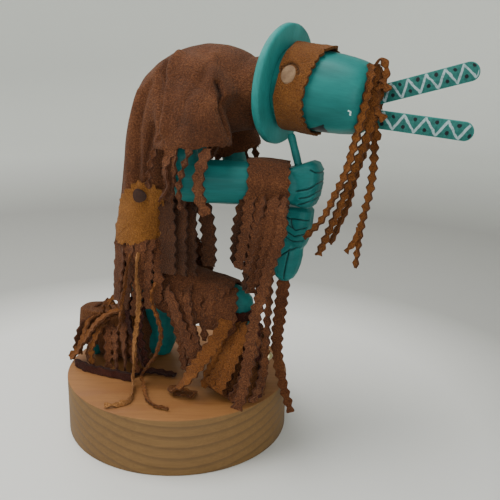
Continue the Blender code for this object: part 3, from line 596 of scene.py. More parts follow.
def makePinkingTree():
    tree = bpy.data.node_groups.new("pinkedStrips", "GeometryNodeTree")
    inputOf(tree, "Bands", "NodeSocketGeometry")
    for name, value in (("Tooth Pitch", 0.0062), ("Tooth Depth", 0.0019), ("Tooth Shift", 0.0),
                        ("Curl", 0.0006), ("Crinkle", 0.0005), ("Thickness", 0.0013)):
        inputOf(tree, name, "NodeSocketFloat", value)
    inputOf(tree, "Seed", "NodeSocketInt", 4)
    inputOf(tree, "Finish", "NodeSocketMaterial")
    tree.interface.new_socket("Strips", in_out="OUTPUT", socket_type="NodeSocketGeometry")
    wire = Wire(tree)
    given = tree.nodes.new("NodeGroupInput")
    ask = {socket.name: Wire(tree, socket) for socket in given.outputs if socket.name}

    def field(name, kind="FLOAT"):
        return wire.add("GeometryNodeInputNamedAttribute", {"data_type": kind}, {"Name": name})

    def waver(x, y, detail):
        spot = wire.add("ShaderNodeCombineXYZ", sockets={"X": x, "Y": y})
        return wire.add("ShaderNodeTexNoise", {"noise_dimensions": "2D"},
                        {"Vector": spot, "Scale": 1.0, "Detail": detail})

    across, along, halfWidth = field("acrossShare"), field("alongWay"), field("halfWidth")
    sideWay, lookWay = field("sideWay", "FLOAT_VECTOR"), field("lookWay", "FLOAT_VECTOR")
    number = field("stripNumber") + ask["Seed"] * 3.7
    chance = wire.add("ShaderNodeTexWhiteNoise", {"noise_dimensions": "1D"}, {"W": number}, out="Value")
    onRight = across > 0.0
    phase = (along / ask["Tooth Pitch"]) + chance + onRight * ask["Tooth Shift"]
    tooth = (phase.fraction() - 0.5).size() * 2.0 - 0.5
    reach = halfWidth + ask["Tooth Depth"] * tooth * (waver(along * 180.0, number, 1.0) * 0.7 + 0.65)
    wobble = waver(along * 95.0, number * 2.3, 2.0)
    edgeWave = waver(along * 150.0, number + across * 0.9, 1.0)
    crinkle = (wobble - 0.5) * 2.0 + (edgeWave - 0.5) * 2.4 * across.size()
    bend = ask["Curl"] * across * across * (chance * 2.0 - 0.6) + ask["Crinkle"] * crinkle
    move = sideWay.scaled(across * reach).plus(lookWay.scaled(bend))
    shaped = wire.add("GeometryNodeSetPosition", sockets={"Geometry": ask["Bands"], "Offset": move})
    skin = wire.add("GeometryNodeExtrudeMesh", {"mode": "FACES"},
                    {"Mesh": shaped, "Offset Scale": ask["Thickness"], "Individual": False})
    under = wire.add("GeometryNodeFlipFaces", sockets={"Mesh": shaped})
    both = wire.add("GeometryNodeJoinGeometry")
    for part in (under, skin):
        tree.links.new(part.socket, both.socket.node.inputs[0])
    whole = wire.add("GeometryNodeMergeByDistance", sockets={"Geometry": both, "Distance": 0.00001})
    real = wire.add("GeometryNodeRealizeInstances", sockets={"Geometry": whole})
    done = wire.add("GeometryNodeSetMaterial", sockets={"Geometry": real, "Material": ask["Finish"]})
    tree.links.new(done.socket, tree.nodes.new("NodeGroupOutput").inputs[0])
    return tree


pinkingTree = makePinkingTree()


def strips(name, rows, finish, pitch=6.4, depth=1.9, curl=0.6, crinkle=0.5, thickness=1.3, seed=4):
    # rows give the points down the middle, the width, and how the flat side looks at the root and at the tip,
    # then, if they are given, how much of the width is left at the tip and the turns of a twist
    step, columns = pitch / 8, 5
    points, faces = [], []
    layers = {"acrossShare": [], "alongWay": [], "halfWidth": [], "stripNumber": [], "sideWay": [],
              "lookWay": []}
    for number, (knots, width, root, tip, *more) in enumerate(rows):
        taper, twist = (*more, *(1.0, 0.0)[len(more):])
        centres = [place(p) for p in spline(knots, step)]
        faces += grid(len(centres), columns, len(points), closed=False)
        for i, (centre, way) in enumerate(zip(centres, headings(centres))):
            share = i / (len(centres) - 1)
            look = root.lerp(tip, share)
            look = (look - way * look.dot(way)).normalized()
            side = way.cross(look)
            if twist:
                c, s = math.cos(2 * math.pi * twist * share), math.sin(2 * math.pi * twist * share)
                look, side = look * c + side * s, side * c - look * s
            half = width / 2 * (1 + (taper - 1) * share ** 2) * mm
            for k in range(columns):
                points.append(centre - look * (thickness / 2) * mm)
                values = (2 * k / (columns - 1) - 1, i * step * mm, half, number, tuple(side), tuple(look))
                for layer, value in zip(layers.values(), values):
                    layer.append(value)
    piece = newMesh(name, points, faces, outward=False)
    for key, values in layers.items():
        vector = key in ("sideWay", "lookWay")
        layer = piece.data.attributes.new(key, "FLOAT_VECTOR" if vector else "FLOAT", "POINT")
        layer.data.foreach_set("vector" if vector else "value", np.array(values, np.float32).ravel())
    live = piece.modifiers.new("pinking", "NODES")
    live.node_group = pinkingTree
    wanted = {"Tooth Pitch": pitch * mm, "Tooth Depth": depth * mm, "Curl": curl * mm,
              "Crinkle": crinkle * mm, "Thickness": thickness * mm, "Seed": seed, "Finish": finish}
    for item in pinkingTree.interface.items_tree:
        if item.item_type == "SOCKET" and item.in_out == "INPUT" and item.name in wanted:
            live[item.identifier] = wanted[item.name]
    settled(piece, 42)
    for key in ("halfWidth", "stripNumber", "sideWay", "lookWay"):
        if key in piece.data.attributes:
            piece.data.attributes.remove(piece.data.attributes[key])
    return piece


def dressed(piece, finish, slot, *nodes):
    # gives a piece its finish and its place in the part
    piece.data.materials.clear()
    piece.data.materials.append(finish)
    seated(piece, slot, *nodes)


def seated(piece, slot, *nodes):
    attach(piece, "root")
    if nodes:
        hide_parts(*nodes)


def inHide(piece, hide, *nodes):
    dressed(piece, hides[hide], hideTones[hide][0], *nodes)


# The base: a disc cut from a pine board, its rim left crisp

pineBase = {"radius": 75.0, "thickness": 38.0, "ease": 0.7, "facets": 180}


def makeBase():
    b = pineBase
    r, t, e = b["radius"], b["thickness"], b["ease"]
    profile = [(0, r - e), (e * 0.3, r - e * 0.3), (e, r), (t * 0.35, r), (t * 0.7, r), (t - e, r),
               (t - e * 0.3, r - e * 0.3), (t, r - e), (t, r * 0.7), (t, r * 0.35)]
    rings = [[Vector((radius * math.cos(turn), radius * math.sin(turn), z)) * mm
              for turn in turns(b["facets"])] for z, radius in profile]
    piece = newMesh("pineDisc", *bridge(rings))
    piece.data.set_sharp_from_angle(angle=math.radians(28))
    dressed(piece, pineWood(), "pine", "pine_base")


# The head: everything on it is set out along its own axes, from the middle of the ruff's front face

head = {"yaw": math.radians(5.4), "nod": math.radians(6.1), "centre": Vector((74.0, 0.0, 194.5)),
        "ruffRadius": 34.5, "ruffThickness": 5.0, "maskLength": 51.0, "maskRadius": 22.6, "gap": 0.3,
        "maskShape": ((0.0, 0.97), (0.15, 0.992), (0.3, 1.0), (0.45, 0.995), (0.6, 0.978), (0.74, 0.948),
                      (0.84, 0.912), (0.91, 0.875), (0.955, 0.835), (0.985, 0.78), (1.0, 0.7), (1.004, 0.5),
                      (1.006, 0.25))}
maskMark = {"triangle": ((21.5, 94.0), (33.0, 100.0), (32.5, 86.0)),
            "chip": (47.5, 76.4, 0.47, 0.88, 1.8, 0.45)}
ahead = Vector((math.cos(head["nod"]) * math.cos(head["yaw"]), -math.cos(head["nod"]) * math.sin(head["yaw"]),
                -math.sin(head["nod"])))
headSide = Vector((math.sin(head["yaw"]), math.cos(head["yaw"]), 0))
headUp = ahead.cross(headSide)
headTurn = (0.0, head["nod"], -head["yaw"])


def onHead(forward, side, high):
    return head["centre"] + ahead * forward + headSide * side + headUp * high


def turnedOnHead(name, profile, facets, waver):
    maker = np.random.default_rng(5)
    phases = maker.uniform(0, 6.28, 6)
    rings = []
    for forward, radius in profile:
        rough = [sum(math.sin((j + 2) * turn + phases[j] + forward * 0.05) for j in range(6)) / 6 * waver
                 + radius for turn in turns(facets)]
        rings.append([place(onHead(forward, math.cos(turn) * wide, math.sin(turn) * wide))
                      for turn, wide in zip(turns(facets), rough)])
    piece = newMesh(name, *bridge(rings))
    piece.data.set_sharp_from_angle(angle=math.radians(50))
    return piece


def makeMask():
    h = head
    t, r = h["ruffThickness"], h["ruffRadius"]
    ruff = turnedOnHead("neckRuff", ((-t, 10), (-t, r - 1.6), (-t + 0.3, r - 0.6), (-t + 1.0, r), (-1.1, r),
                                     (-0.4, r - 0.5), (0.0, r - 1.4), (0.0, r * 0.8), (0.0, 14)), 160, 0.35)
    # the ruff's paint is lighter than the figure's: partly a chalkier paint of its own, partly painted light
    # on its front face, where little lamplight reaches
    paint = paintedWood("ruffPaintWithPaintedLight", (0.0, math.radians(80), -h["yaw"]), (16, 88, 85), (44, 142, 137))
    dressed(ruff, paint, "turquoise_paint", "neck_ruff")
    profile = [(h["gap"] + h["maskLength"] * min(share, 1.002), h["maskRadius"] * size)
               for share, size in h["maskShape"]]
    mask = turnedOnHead("caseMask", profile, 144, 0.28)
    # how far ahead each point is, and how far round at the mask's own girth
    mark(mask, "aheadWay", [forward * mm for forward, _ in profile for _ in range(144)])
    mark(mask, "turnWay", [turn * 22 * mm for _ in profile for turn in turns(144)])
    dressed(mask, maskPaint(headTurn), "turquoise_paint", "case_mask")


crestSticks = {"width": 10.0, "thickness": 2.0, "socket": 7.6, "reach": 59.0, "ease": 0.45,
               "dot": 1.05, "lowDot": 2.0, "highDot": -2.7, "zigzag": (0.84, 0.19),
               "places": (("crestStickUpper", 1.5, 1.7, math.radians(23.0), 10.0, 2.0, "crest_stick_upper"),
                          ("crestStickLower", -2.5, -9.4, math.radians(2.8), 11.9, -2.0,
                           "crest_stick_lower"))}


def makeSticks():
    s = crestSticks
    crown = head["gap"] + head["maskLength"]
    e, t, wide = s["ease"], s["thickness"] / 2, s["width"] / 2

    def outline(inset):
        half = wide - inset
        bend = [-math.pi / 2 + math.pi * k / 24 for k in range(25)]
        return ([(-s["socket"] + inset, half), (-s["socket"] + inset, -half)]
                + [(s["reach"] - wide + half * math.cos(turn), half * math.sin(turn)) for turn in bend])

    for name, side, high, rise, pitch, firstPeak, node in s["places"]:
        along = ahead * math.cos(rise) + headUp * math.sin(rise)
        across = along.cross(headSide)
        root = onHead(crown, side, high)
        rings, lengths, widths, faces = [], [], [], []
        for inset, level in ((e, -t), (e * 0.3, -t + e * 0.3), (0, -t + e), (0, t - e),
                             (e * 0.3, t - e * 0.3), (e, t)):
            rings.append([place(root + along * a + across * b + headSide * level) for a, b in outline(inset)])
            lengths += [a * mm for a, _ in outline(inset)]
            widths += [b / wide for _, b in outline(inset)]
            faces += [1.0 if inset == e else 0.0] * len(rings[-1])
        stick = newMesh(name, *bridge(rings))
        mark(stick, "alongWay", lengths)
        mark(stick, "acrossShare", widths)
        mark(stick, "faceShare", faces)
        stick.data.set_sharp_from_angle(angle=math.radians(40))
        dressed(stick, stickPaint(pitch, firstPeak), "turquoise_paint", node)


maskBand = {"start": 4.0, "width": 19.0, "teeth": 29, "tooth": 1.7, "thickness": 1.4, "flap": 3.6,
            "flapTurn": 1.62, "columns": 348, "rows": 15, "button": (11.0, 4.3, 5.2), "slit": 1.3}


def makeBand():
    # the ochre strap: its front edge is pinked and wavers, and it reaches forward over the top
    b = maskBand
    columns, rows = b["columns"], b["rows"]
    maker = np.random.default_rng(12)
    deep = maker.uniform(0.5, 1.4, b["teeth"] + 1)
    points, edge = [], []
    inner = head["maskRadius"] + head["gap"] * 2
    for turn in turns(columns):
        out = headSide * math.cos(turn) + headUp * math.sin(turn)
        teeth = (turn + 0.05 * math.sin(5 * turn)) / (2 * math.pi) * b["teeth"]
        wave = math.sin(math.pi * (teeth % 1)) ** 0.7
        fromFlap = math.atan2(math.sin(turn - b["flapTurn"]), math.cos(turn - b["flapTurn"]))
        topShare = math.exp(-(fromFlap / 0.28) ** 2)
        front = (b["start"] + b["width"] + b["tooth"] * (wave - 0.6) * deep[int(teeth) % b["teeth"]]
                 + 0.9 * math.sin(turn + 0.4) + 0.7 * math.sin(3 * turn + 1) + b["flap"] * topShare)
        rear = b["start"] + 0.5 * math.sin(2 * turn + 2) + 0.4 * math.sin(7 * turn)
        for j in range(rows):
            share = j / (rows - 1)
            forward = rear + (front - rear) * share
            lift = 0.35 * math.sin(turn * 11 + forward * 0.5) + 0.3 * math.sin(turn * 17 - forward * 0.9)
            lift += 1.2 * topShare * share ** 2 + 0.8 * max(0, share - 0.7) * math.sin(turn * b["teeth"] / 2)
            edge.append(1.0 if share in (0, 1) else 0.0)
            radius = inner + 0.5 + 0.45 * max(0.0, lift) + 0.25 * edge[-1]
            points.append(place(onHead(forward, 0, 0) + out * radius))
    pairs = [(i * rows + j, (i + 1) % columns * rows + j) for i in range(columns) for j in range(rows - 1)]
    piece = newMesh("maskBand", points, [(a, c, c + 1, a + 1) for a, c in pairs])
    mark(piece, "acrossShare", edge)
    first = piece.data.polygons[0]
    if first.normal.dot(first.center - place(onHead(3, 0, 0))) < 0:
        piece.data.flip_normals()
    thickened(piece, b["thickness"], 50, even=True)
    forward, halfWide, halfHigh = b["button"]
    look = (-headSide * 0.94 + headUp * 0.34).normalized()
    high = look.cross(ahead)
    skin = inner + b["thickness"] + 0.6

    def onStrap(a, c, level):
        return onHead(forward, 0, 0) + look * (skin + level) + ahead * a + high * c

    # a slit pressed round the top of the button, darkened as painted shadow
    slit = [onStrap((halfWide + b["slit"]) * math.cos(t), (halfHigh + b["slit"] + 0.3) * math.sin(t), 0.3)
            for t in (math.radians(d) for d in range(10, 176, 15))]
    grooved(piece, [slit], 0.75, 1.1)
    inHide(piece, "strapSuede", "mask_band")
    # the oval button, a little sunk in a cut of the strap, and bent round the mask with it
    rings = []
    bend = skin + 0.2
    for share, level in ((1.0, 0.0), (1.0, 0.35), (0.94, 0.62), (0.8, 0.75), (0.5, 0.8), (0.2, 0.82)):
        circle = [(halfWide * share * math.cos(turn), halfHigh * share * math.sin(turn))
                  for turn in turns(40)]
        rings.append([place(onStrap(a, c, level - 0.3 - bend + math.sqrt(bend ** 2 - c * c)))
                      for a, c in circle])
    button = newMesh("bandButton", *bridge(rings))
    dressed(button, smoothLeather("buttonHide", (98, 74, 54), (148, 120, 92)), "dark_leather", "band_button")


hairKnot = (((126, -5, 208), 2.2, 3.2), ((127, -7.5, 200), 3.0, 3.8), ((127.5, -11, 191), 3.2, 4.2),
            ((128.5, -13, 182), 2.8, 3.8), ((127, -14, 175), 2.0, 2.8))
hairStrips = (
    (((125, -9, 208), (126.4, -14, 203), (126, -17.6, 192), (124.5, -19, 181), (121.5, -19, 167),
      (118.5, -19, 154), (113, -18.7, 139), (105, -18.5, 122), (95, -18.5, 110)), 4.3, nearFront, near,
     0.9, 0.1),
    (((130, -9, 192), (129, -14, 179), (125.5, -15.5, 165), (120.5, -15.5, 149), (115, -15.5, 132),
      (109, -15.5, 116), (103, -15.5, 100)), 4.5, near, near, 1.0, -0.12),
    (((129, -8, 188), (128, -12, 179), (126, -12.5, 165), (122, -12.5, 150), (118.5, -12.5, 132),
      (114, -12.5, 119), (109.5, -12.5, 107)), 4.5, near, near, 1.0, 0.15),
    (((129, -12, 188), (129, -9, 176), (130, -8.5, 157), (129, -8.5, 140), (125, -8, 116), (123.5, -8, 93)),
     4.3, nearFront, near, 0.85, 0.08),
    (((126, -16, 186), (121.5, -16, 170), (118, -15.5, 158), (113.5, -14.5, 142), (108, -14, 128)), 4.0, near,
     near, 0.8, 0.25),
    (((124.4, -8, 117), (122, -9.5, 109), (118, -10, 102)), 2.6, near, near, 0.7),
    (((126, -8, 206), (130, -8.5, 211), (133.5, -9, 206), (132.5, -10.5, 199), (129.5, -13, 195)), 3.4, up,
     near),
    (((129, -9, 198), (132, -10, 200), (136, -11.5, 195)), 3.6, up, nearFront),
    (((128.5, -13, 184), (132, -15.5, 184), (136, -15.5, 180)), 3.6, nearFront, near),
    (((127, -10, 180), (130, -10, 174), (132, -9, 168)), 3.4, near, near),
    (((127.4, -4, 206), (130.5, -2, 202), (131, -1, 194), (129.5, -1, 184)), 3.6, front, front),
    (((127, -3, 207), (130, -6, 203), (131, -8, 195), (129, -12.5, 188)), 4.0, front, nearFront, 1.0, 0.2))


def makeHair():
    knot = melted(limb("hairKnot", hairKnot, 12), 0.8, 3)
    folded(knot, [], 0.5, 11)
    inHide(knot, "tanSuede", "hair")
    piece = strips("hairStrips", hairStrips, hides["tanSuede"], 5.7, 1.7, 0.7, 0.5, 1.3, 8)
    seated(piece, "ochre_suede", "hair")


# The carved figure, its hands and the flute

figure = {
    "clear": 2.6,
    "torso": (((-16.5, 0, 48), 20, 16), ((-17.5, 0, 66), 26, 20.5), ((-15.3, 0, 102), 27, 19.5),
              ((-11, 0, 127), 27.5, 19.7), ((-4.2, 0, 154.5), 28.5, 24), ((6.3, 0, 177.3), 28, 27),
              ((27.5, 0, 189), 25, 24.5), ((54, 0, 188.7), 19, 17)),
    "neck": (15.5, 15.5),
    "nearArm": (((12, -20, 180), 11, 12), ((18, -32, 168), 12, 12), ((25, -37, 152), 12, 12.5),
                ((27, -37, 144), 11, 11)),
    "nearForearm": (((17, -40, 141), 6, 7), ((20, -39, 142), 10, 10.5), ((27, -36.5, 140), 12.5, 13),
                    ((52, -26.5, 139.5), 12.5, 13.2), ((78, -15.5, 139), 11, 12), ((83, -13.4, 139), 10, 11)),
    "farArm": (((12, 20, 180), 11, 11), ((19, 32, 162), 11, 11), ((24, 36, 140), 11, 10.5),
               ((26, 35, 133), 9, 9)),
    "farForearm": (((20, 36, 135), 7, 8), ((27, 33, 132), 11, 11), ((52, 19, 123), 10.5, 10.5),
                   ((72, 5, 115.5), 9, 9), ((78, 1, 113.5), 8, 8)),
    "nearThigh": (((-16, -12, 61), 13, 15), ((10, -13, 63), 13, 14), ((38, -12, 62), 11.5, 12),
                  ((50, -11.5, 60), 10.5, 10.5), ((56, -11, 57), 7, 8)),
    "nearShin": (((51, -11.5, 61), 9, 9), ((52, -11.5, 50), 9.5, 9.5), ((49, -11.5, 32), 9.5, 10.5),
                 ((46, -11.5, 12), 6.5, 7), ((46, -11.5, 3.5), 7, 6)),
    "nearFoot": (((34, -11.5, 5), 5, 4.4), ((44, -11.5, 6), 7, 5.4), ((53, -11.5, 4.6), 7, 4.2),
                 ((58, -11.5, 3.8), 5.5, 3.2)),
    "farThigh": (((-18, 12, 62), 13, 15), ((-22, 13, 42), 12, 13), ((-22.5, 13, 24), 11.5, 12),
                 ((-22, 13, 10), 11, 11.5), ((-22, 13, 1), 7, 7.5)),
    "farShin": (((-18, 14, 12), 9.5, 9.5), ((-38, 5, 12), 10.5, 10.5), ((-54, -2, 9.5), 8, 8.5),
                ((-62, -6, 8.6), 7, 7)),
    "farFoot": (((-61, -6, 1), 7, 4), ((-62, -6.5, 8), 7.5, 6), ((-63, -7, 19), 7, 6.5),
                ((-62, -7, 30), 5.5, 5)),
    "fluteEnd": (((81.2, -1.5, 103.5), 6.8, 6.6), ((80.6, -1.5, 100), 7.8, 7.8),
                 ((79.6, -1.5, 94.5), 8.6, 8.7), ((78.4, -1.6, 88.5), 8.7, 8.7),
                 ((77.5, -1.8, 83.5), 8.0, 8.0), ((77.0, -2, 79.5), 6.4, 6.4), ((76.8, -2, 76.9), 3.6, 3.6)),
    "fluteTop": (80.2, -8.3, 167.6), "fluteHole": (86.4, -10.0, 150), "fluteRadius": 2.3}
carvedTorso = figure["torso"] + ((head["centre"] - ahead * (head["ruffThickness"] + head["gap"]),
                                  *figure["neck"]),)


# each hand: its stations, and the lines carved between its fingers and down the flute's end
hands = {
    "near": (((88.6, -10.8, 151.3), 6.2, 7.4), ((89.0, -10.8, 150.3), 8.6, 10.2),
             ((89.4, -10.6, 148), 9.6, 11.5),
             ((89.2, -10.4, 141), 9.8, 11.5), ((88.4, -10.2, 134), 9.6, 10.9), ((87.6, -10, 129.6), 9.0, 9.8),
             ((87.2, -10, 127.8), 7.0, 7.4)),
    "wrist": (((72, -17.8, 139), 9.6, 10.8), ((82, -14, 139), 9.4, 10.6), ((88, -12, 139), 8, 9.6)),
    "nearLines": (((89.5, -20, 137.0), (95.7, -20, 138.5), (101.5, -17, 141.6), (102, -11, 142),
                   (100, -4, 141.5)),
                  ((91, -20, 132.8), (96, -20, 133.9), (101.5, -17, 136.0), (102, -11, 136.2),
                   (99.5, -4, 136)),
                  ((90, -20, 128.6), (96.1, -20, 130.3), (100.5, -16, 132.0), (100.5, -11, 132.4),
                   (98, -4, 132)),
                  ((97, -19, 149.7), (99.9, -18, 148.6), (102.5, -14, 147.9), (102, -9, 147.6),
                   (100, -3, 147.4))),
    "far": (((85.2, -1.5, 124.6), 6.0, 6.2), ((85.2, -1.5, 122.6), 7.8, 8.4), ((84.4, -1.5, 114), 8.4, 8.4),
            ((83.8, -1.5, 105), 8.0, 7.4), ((83.2, -1.5, 101.5), 7.0, 6.6), ((82.8, -1.5, 99.5), 5.6, 5.6)),
    "farLines": (((79.5, -9.5, 115.2), (82.6, -9.8, 113.0), (85.9, -10, 111.2), (89.4, -9.4, 112.2),
                  (92.6, -7, 113.0)),
                 ((78.5, -9, 111.4), (80.4, -9.4, 109.7), (85.2, -10, 107.2), (91.4, -7, 109.3)),
                 ((77.5, -8.5, 107.6), (79.2, -9, 106.4), (84.4, -10, 103.6), (90.2, -7, 104.8)),
                 ((76.5, -8, 119.4), (82, -9.5, 117.7), (85.8, -9.5, 118.0), (92.5, -6, 117.3)),
                 ((83, -9.5, 117.7), (83, -9.6, 115), (84.5, -9.8, 112.2))),
    "bulbLines": (((82.7, -10.5, 98.6), (81.2, -10.5, 90.2), (79.7, -9.5, 81.9), (78.6, -7, 78.2)),
                  ((82.3, -10.5, 98.3), (75.2, -9.5, 92.8), (71, -6, 89.5)),
                  ((81.9, -10, 98), (88.6, -7, 99.9)),
                  ((76, 6, 98), (75, 6.5, 90), (75, 6, 82)), ((85, 6, 98), (84, 6.5, 90), (81, 5.5, 82)))}


def onBase(piece, clear):
    # what lies below the top of the base is pressed flat just above it
    points = vectorsOf(piece, "co")
    points[:, 2] = np.maximum(points[:, 2], (baseTop + clear) * mm)
    putCorners(piece, points)


def makeFigure():
    f = figure
    paint = paintedWood("figurePaint", (0.0, 0.0, 0.35))

    def carved(piece, *nodes):
        dressed(piece, paint, "turquoise_paint", *nodes)

    # under the robe the wood keeps clear of the folds
    under = [(s[0], s[1] - f["clear"], s[2] - f["clear"]) for s in carvedTorso[:-1]] + [carvedTorso[-1]]
    limbs = [limb("torso", under, 20, last=ahead)]
    limbs += [limb(key, f[key], 12, -f["clear"]) for key in ("nearArm", "farArm")]
    for key in ("nearForearm", "farForearm", "nearThigh", "nearShin", "nearFoot", "farThigh", "farShin",
                "farFoot"):
        limbs.append(limb(key, f[key], 10))
    body = melted(joined("carvedBody", limbs), 1.15, 3)
    onBase(body, 0.3)
    folded(body, [], 0.28, 21)
    carved(body, "carved_figure")

    # the near hand is one block with its fingers cut in lines round the flute
    palm = limb("palm", hands["near"], 20, squareness=0.55)
    near = melted(joined("nearHand", [palm, limb("wrist", hands["wrist"], 12, squareness=0.8)]), 0.5, 3)
    folded(near, [(line, 1.7, 0.35, 0) for line in hands["nearLines"]], 0.12, 31)
    grooved(near, hands["nearLines"], 0.5, 1.25)
    carved(near, "carved_figure")

    # the far hand, lower down, with its fingers on this side, and the end of the flute under it
    palm = limb("palm", hands["far"], 16, squareness=0.6)
    lower = melted(joined("farHand", [palm, limb("bulb", f["fluteEnd"], 14)]), 0.5, 3)
    folded(lower, [(line, 1.5, 0.45, 0) for line in hands["farLines"][:4]], 0.12, 32)
    grooved(lower, hands["farLines"] + hands["bulbLines"], 0.5, 1.2)
    carved(lower, "carved_figure")

    # the flute itself, from under the mask into the near hand
    a, b = place(f["fluteTop"]), place(f["fluteHole"])
    way = (b - a).normalized()
    deep = b + way * 7 * mm
    rings = []
    for share in np.linspace(0, 1, 16):
        wide = f["fluteRadius"] * (1 + 0.03 * math.sin(share * 17)) * mm * (0.8 if share in (0, 1) else 1)
        rings.append(ringOf(a.lerp(deep, float(share)), way, far, wide, wide, 28))
    rod = newMesh("flute", *bridge(rings))
    rod.data.set_sharp_from_angle(angle=math.radians(60))
    carved(rod, "flute")
    rings = [ringOf(b + way * (d * mm), way, far, r * mm, r * mm, 28) for d, r in ((-0.2, 3.3), (0.5, 3.2))]
    hole = newMesh("fluteHole", *bridge(rings))
    dressed(hole, smoothLeather("holeShade", (10, 26, 26), (18, 40, 40)), "turquoise_paint")
    print("figure carved")


# The suede robe with its sleeves: one skin over the carved back

robe = {
    "hem": 33.0, "neckShort": 1.8, "stands": 4.0, "hide": 1.5, "toothPitch": 5.2, "toothDepth": 1.3,
    "nearSleeve": (((12, -20, 186), 13.5, 17), ((23, -30, 178), 14.5, 20.5), ((29.5, -35.5, 169), 15, 23),
                   ((31.5, -36.7, 159.5), 15, 24)),
    "foldDepth": 1.35, "cut": (0.21, 0.15), "mouth": (9.0, 40.0),
    "sleeveFall": Vector((0.1, -0.03, -1.0)).normalized(),
    "farSleeve": (((12, 20, 182), 13, 15), ((18.5, 31, 166), 14, 18), ((24, 35, 148), 14.5, 20)),
    "shoulders": ((((6, -12, 194), 14, 17), ((22, -19, 191), 17, 20), ((35, -23, 185), 13.5, 18.5),
                   ((43, -26, 178), 12, 16)),
                  (((6, 12, 194), 14, 17), ((24, 18, 190), 16, 20), ((36, 17, 184.5), 14, 18))),
    # each fold: its line, its width, its height, or its depth where it is below nought, and how much painted
    # shade lies along it
    "folds": (
        (((10, -17, 206), (11, -26, 196), (14, -36, 185), (15, -44, 175), (14, -48, 165)), 3.0, -3.8, 0.3),
        (((15, -20, 206), (17.5, -29, 194), (20.5, -40, 181), (20, -47, 169)), 3.4, 2.4, 0),
        (((2, -20, 200), (6, -29, 190), (9, -38, 179), (8, -43, 168)), 2.5, -2.8, 0.2),
        (((6, -18, 203), (8.5, -28, 193), (11.5, -37, 183)), 2.4, 1.4, 0),
        (((35.4, -23.7, 202), (33, -33, 191), (31, -40, 183), (30, -47, 172)), 3.0, -0.8, 0.12),
        (((34, -16, 209), (37, -25, 201), (42, -32, 193), (47, -38, 184)), 3.0, 1.2, 0),
        (((43, -30, 194.5), (48.5, -35, 188.5), (52, -37, 179), (54, -36, 168)), 1.3, -2.6, 1.0),
        (((-4, -24, 192), (-7, -29, 178), (-9.5, -31, 166), (-9, -32, 150), (-10, -32, 134)), 2.6, -2.0,
         0.15),
        (((-12, -24, 188), (-15, -28, 170), (-17, -30, 150), (-18, -30, 128)), 3.6, 1.5, 0),
        (((-20, -18, 182), (-27, -22, 162), (-29, -24, 140), (-30, -24, 112)), 3.0, -1.6, 0.1),
        (((2, -34, 168), (-1, -36, 152), (-2, -35, 138), (-3, -32, 120)), 2.6, -1.5, 0.12),
        (((-30, -8, 168), (-36, -6, 140), (-39, -4, 112)), 5.0, 1.0, 0),
        (((-20, 20, 185), (-28, 22, 160), (-30, 24, 130), (-32, 22, 105)), 3.4, -1.8, 0.12),
        (((-8, 30, 185), (-10, 38, 165), (-10, 38, 140), (-12, 34, 110)), 4.0, 1.4, 0),
        (((38, 24, 198), (42, 28, 190), (46, 34, 176), (46, 40, 160)), 1.3, -2.8, 0.9),
        (((14, 24, 204), (15, 40, 186), (14, 47, 166)), 3.2, -2.6, 0.2),
        (((22, 28, 204), (22, 44, 184), (24, 49, 166)), 4.0, 1.6, 0))}


def rimSmoothed(form, rounds):
    rim = [v for v in form.verts if v.is_boundary]
    for _ in range(rounds):
        moved = {}
        for v in rim:
            ends = [e.other_vert(v) for e in v.link_edges if e.is_boundary]
            if len(ends) == 2:
                moved[v] = v.co * 0.4 + (ends[0].co + ends[1].co) * 0.3
        for v, co in moved.items():
            v.co = co


def rimPinked(form, mouths, pitch, depth, reach):
    # teeth along the open edges, cut in the plane of each mouth
    for v in (v for v in form.verts if v.is_boundary):
        centre, way = min((mouth[:2] for mouth in mouths), key=lambda m: (v.co - m[0]).length)
        out = v.co - centre
        if abs(out.dot(way)) > reach * mm:
            continue
        side = far - way * far.dot(way)
        turn = math.atan2(out.dot(way.cross(side)), out.dot(side))
        wave = abs((turn * out.length / (pitch * mm)) % 1 * 2 - 1)
        v.co += way * (depth * mm * wave)


def makeRobe():
    r = robe
    neck = distances([s[0] for s in carvedTorso])[-1]
    cut = between(carvedTorso, r["hem"], neck - r["neckShort"])
    nearSleeve, farSleeve = eased(r["nearSleeve"], 4), eased(r["farSleeve"], 6)
    parts = [limb("body", eased(cut, 6), 44, r["stands"], last=ahead),
             limb("sleeve", nearSleeve, 36, squareness=0.8, last=r["sleeveFall"]),
             limb("sleeve", farSleeve, 30)]
    parts += [limb("shoulder", eased(stations, 5), 30) for stations in r["shoulders"]]
    whole = melted(joined("suedeRobe", parts), 1.25, 22)
    folds = [(line, wide, high * r["foldDepth"], dark) for line, wide, high, dark in r["folds"]]
    folded(whole, folds, 0.4, 7)
    # each mouth: its middle, the way it looks, how squarely a face looks out of it, and how deep it is cut
    mouths = [(place(r["nearSleeve"][-1][0]), r["sleeveFall"], 0.5, 4.5),
              (place(r["farSleeve"][-1][0]), (farSleeve[-1][0] - farSleeve[-2][0]).normalized(), 0.55, 4.5),
              (place(cut[0][0]), (Vector(cut[0][0]) - Vector(cut[1][0])).normalized(), 0.55, 5),
              (place(cut[-1][0]), ahead, 0.55, 5)]
    reach, wide = r["mouth"]

    def inMouth(face):
        spot = face.calc_center_median()
        return any(face.normal.dot(way) > least and (spot - centre).dot(way) > -deep * mm
                   and (spot - centre).length < wide * mm for centre, way, least, deep in mouths)

    form = bmesh.new()
    form.from_mesh(whole.data)
    bmesh.ops.delete(form, geom=[face for face in form.faces if inMouth(face)], context="FACES")
    rimSmoothed(form, 8)
    rimPinked(form, mouths[:3], r["toothPitch"], r["toothDepth"], reach)
    form.to_mesh(whole.data)
    form.free()
    thickened(whole, r["hide"], 60, offset=-1.0)
    inHide(whole, "brownSuede", "suede_robe")
    print("robe made")
    return whole


# Wrapped pieces: a band of hide round a limb, pinked at both ends

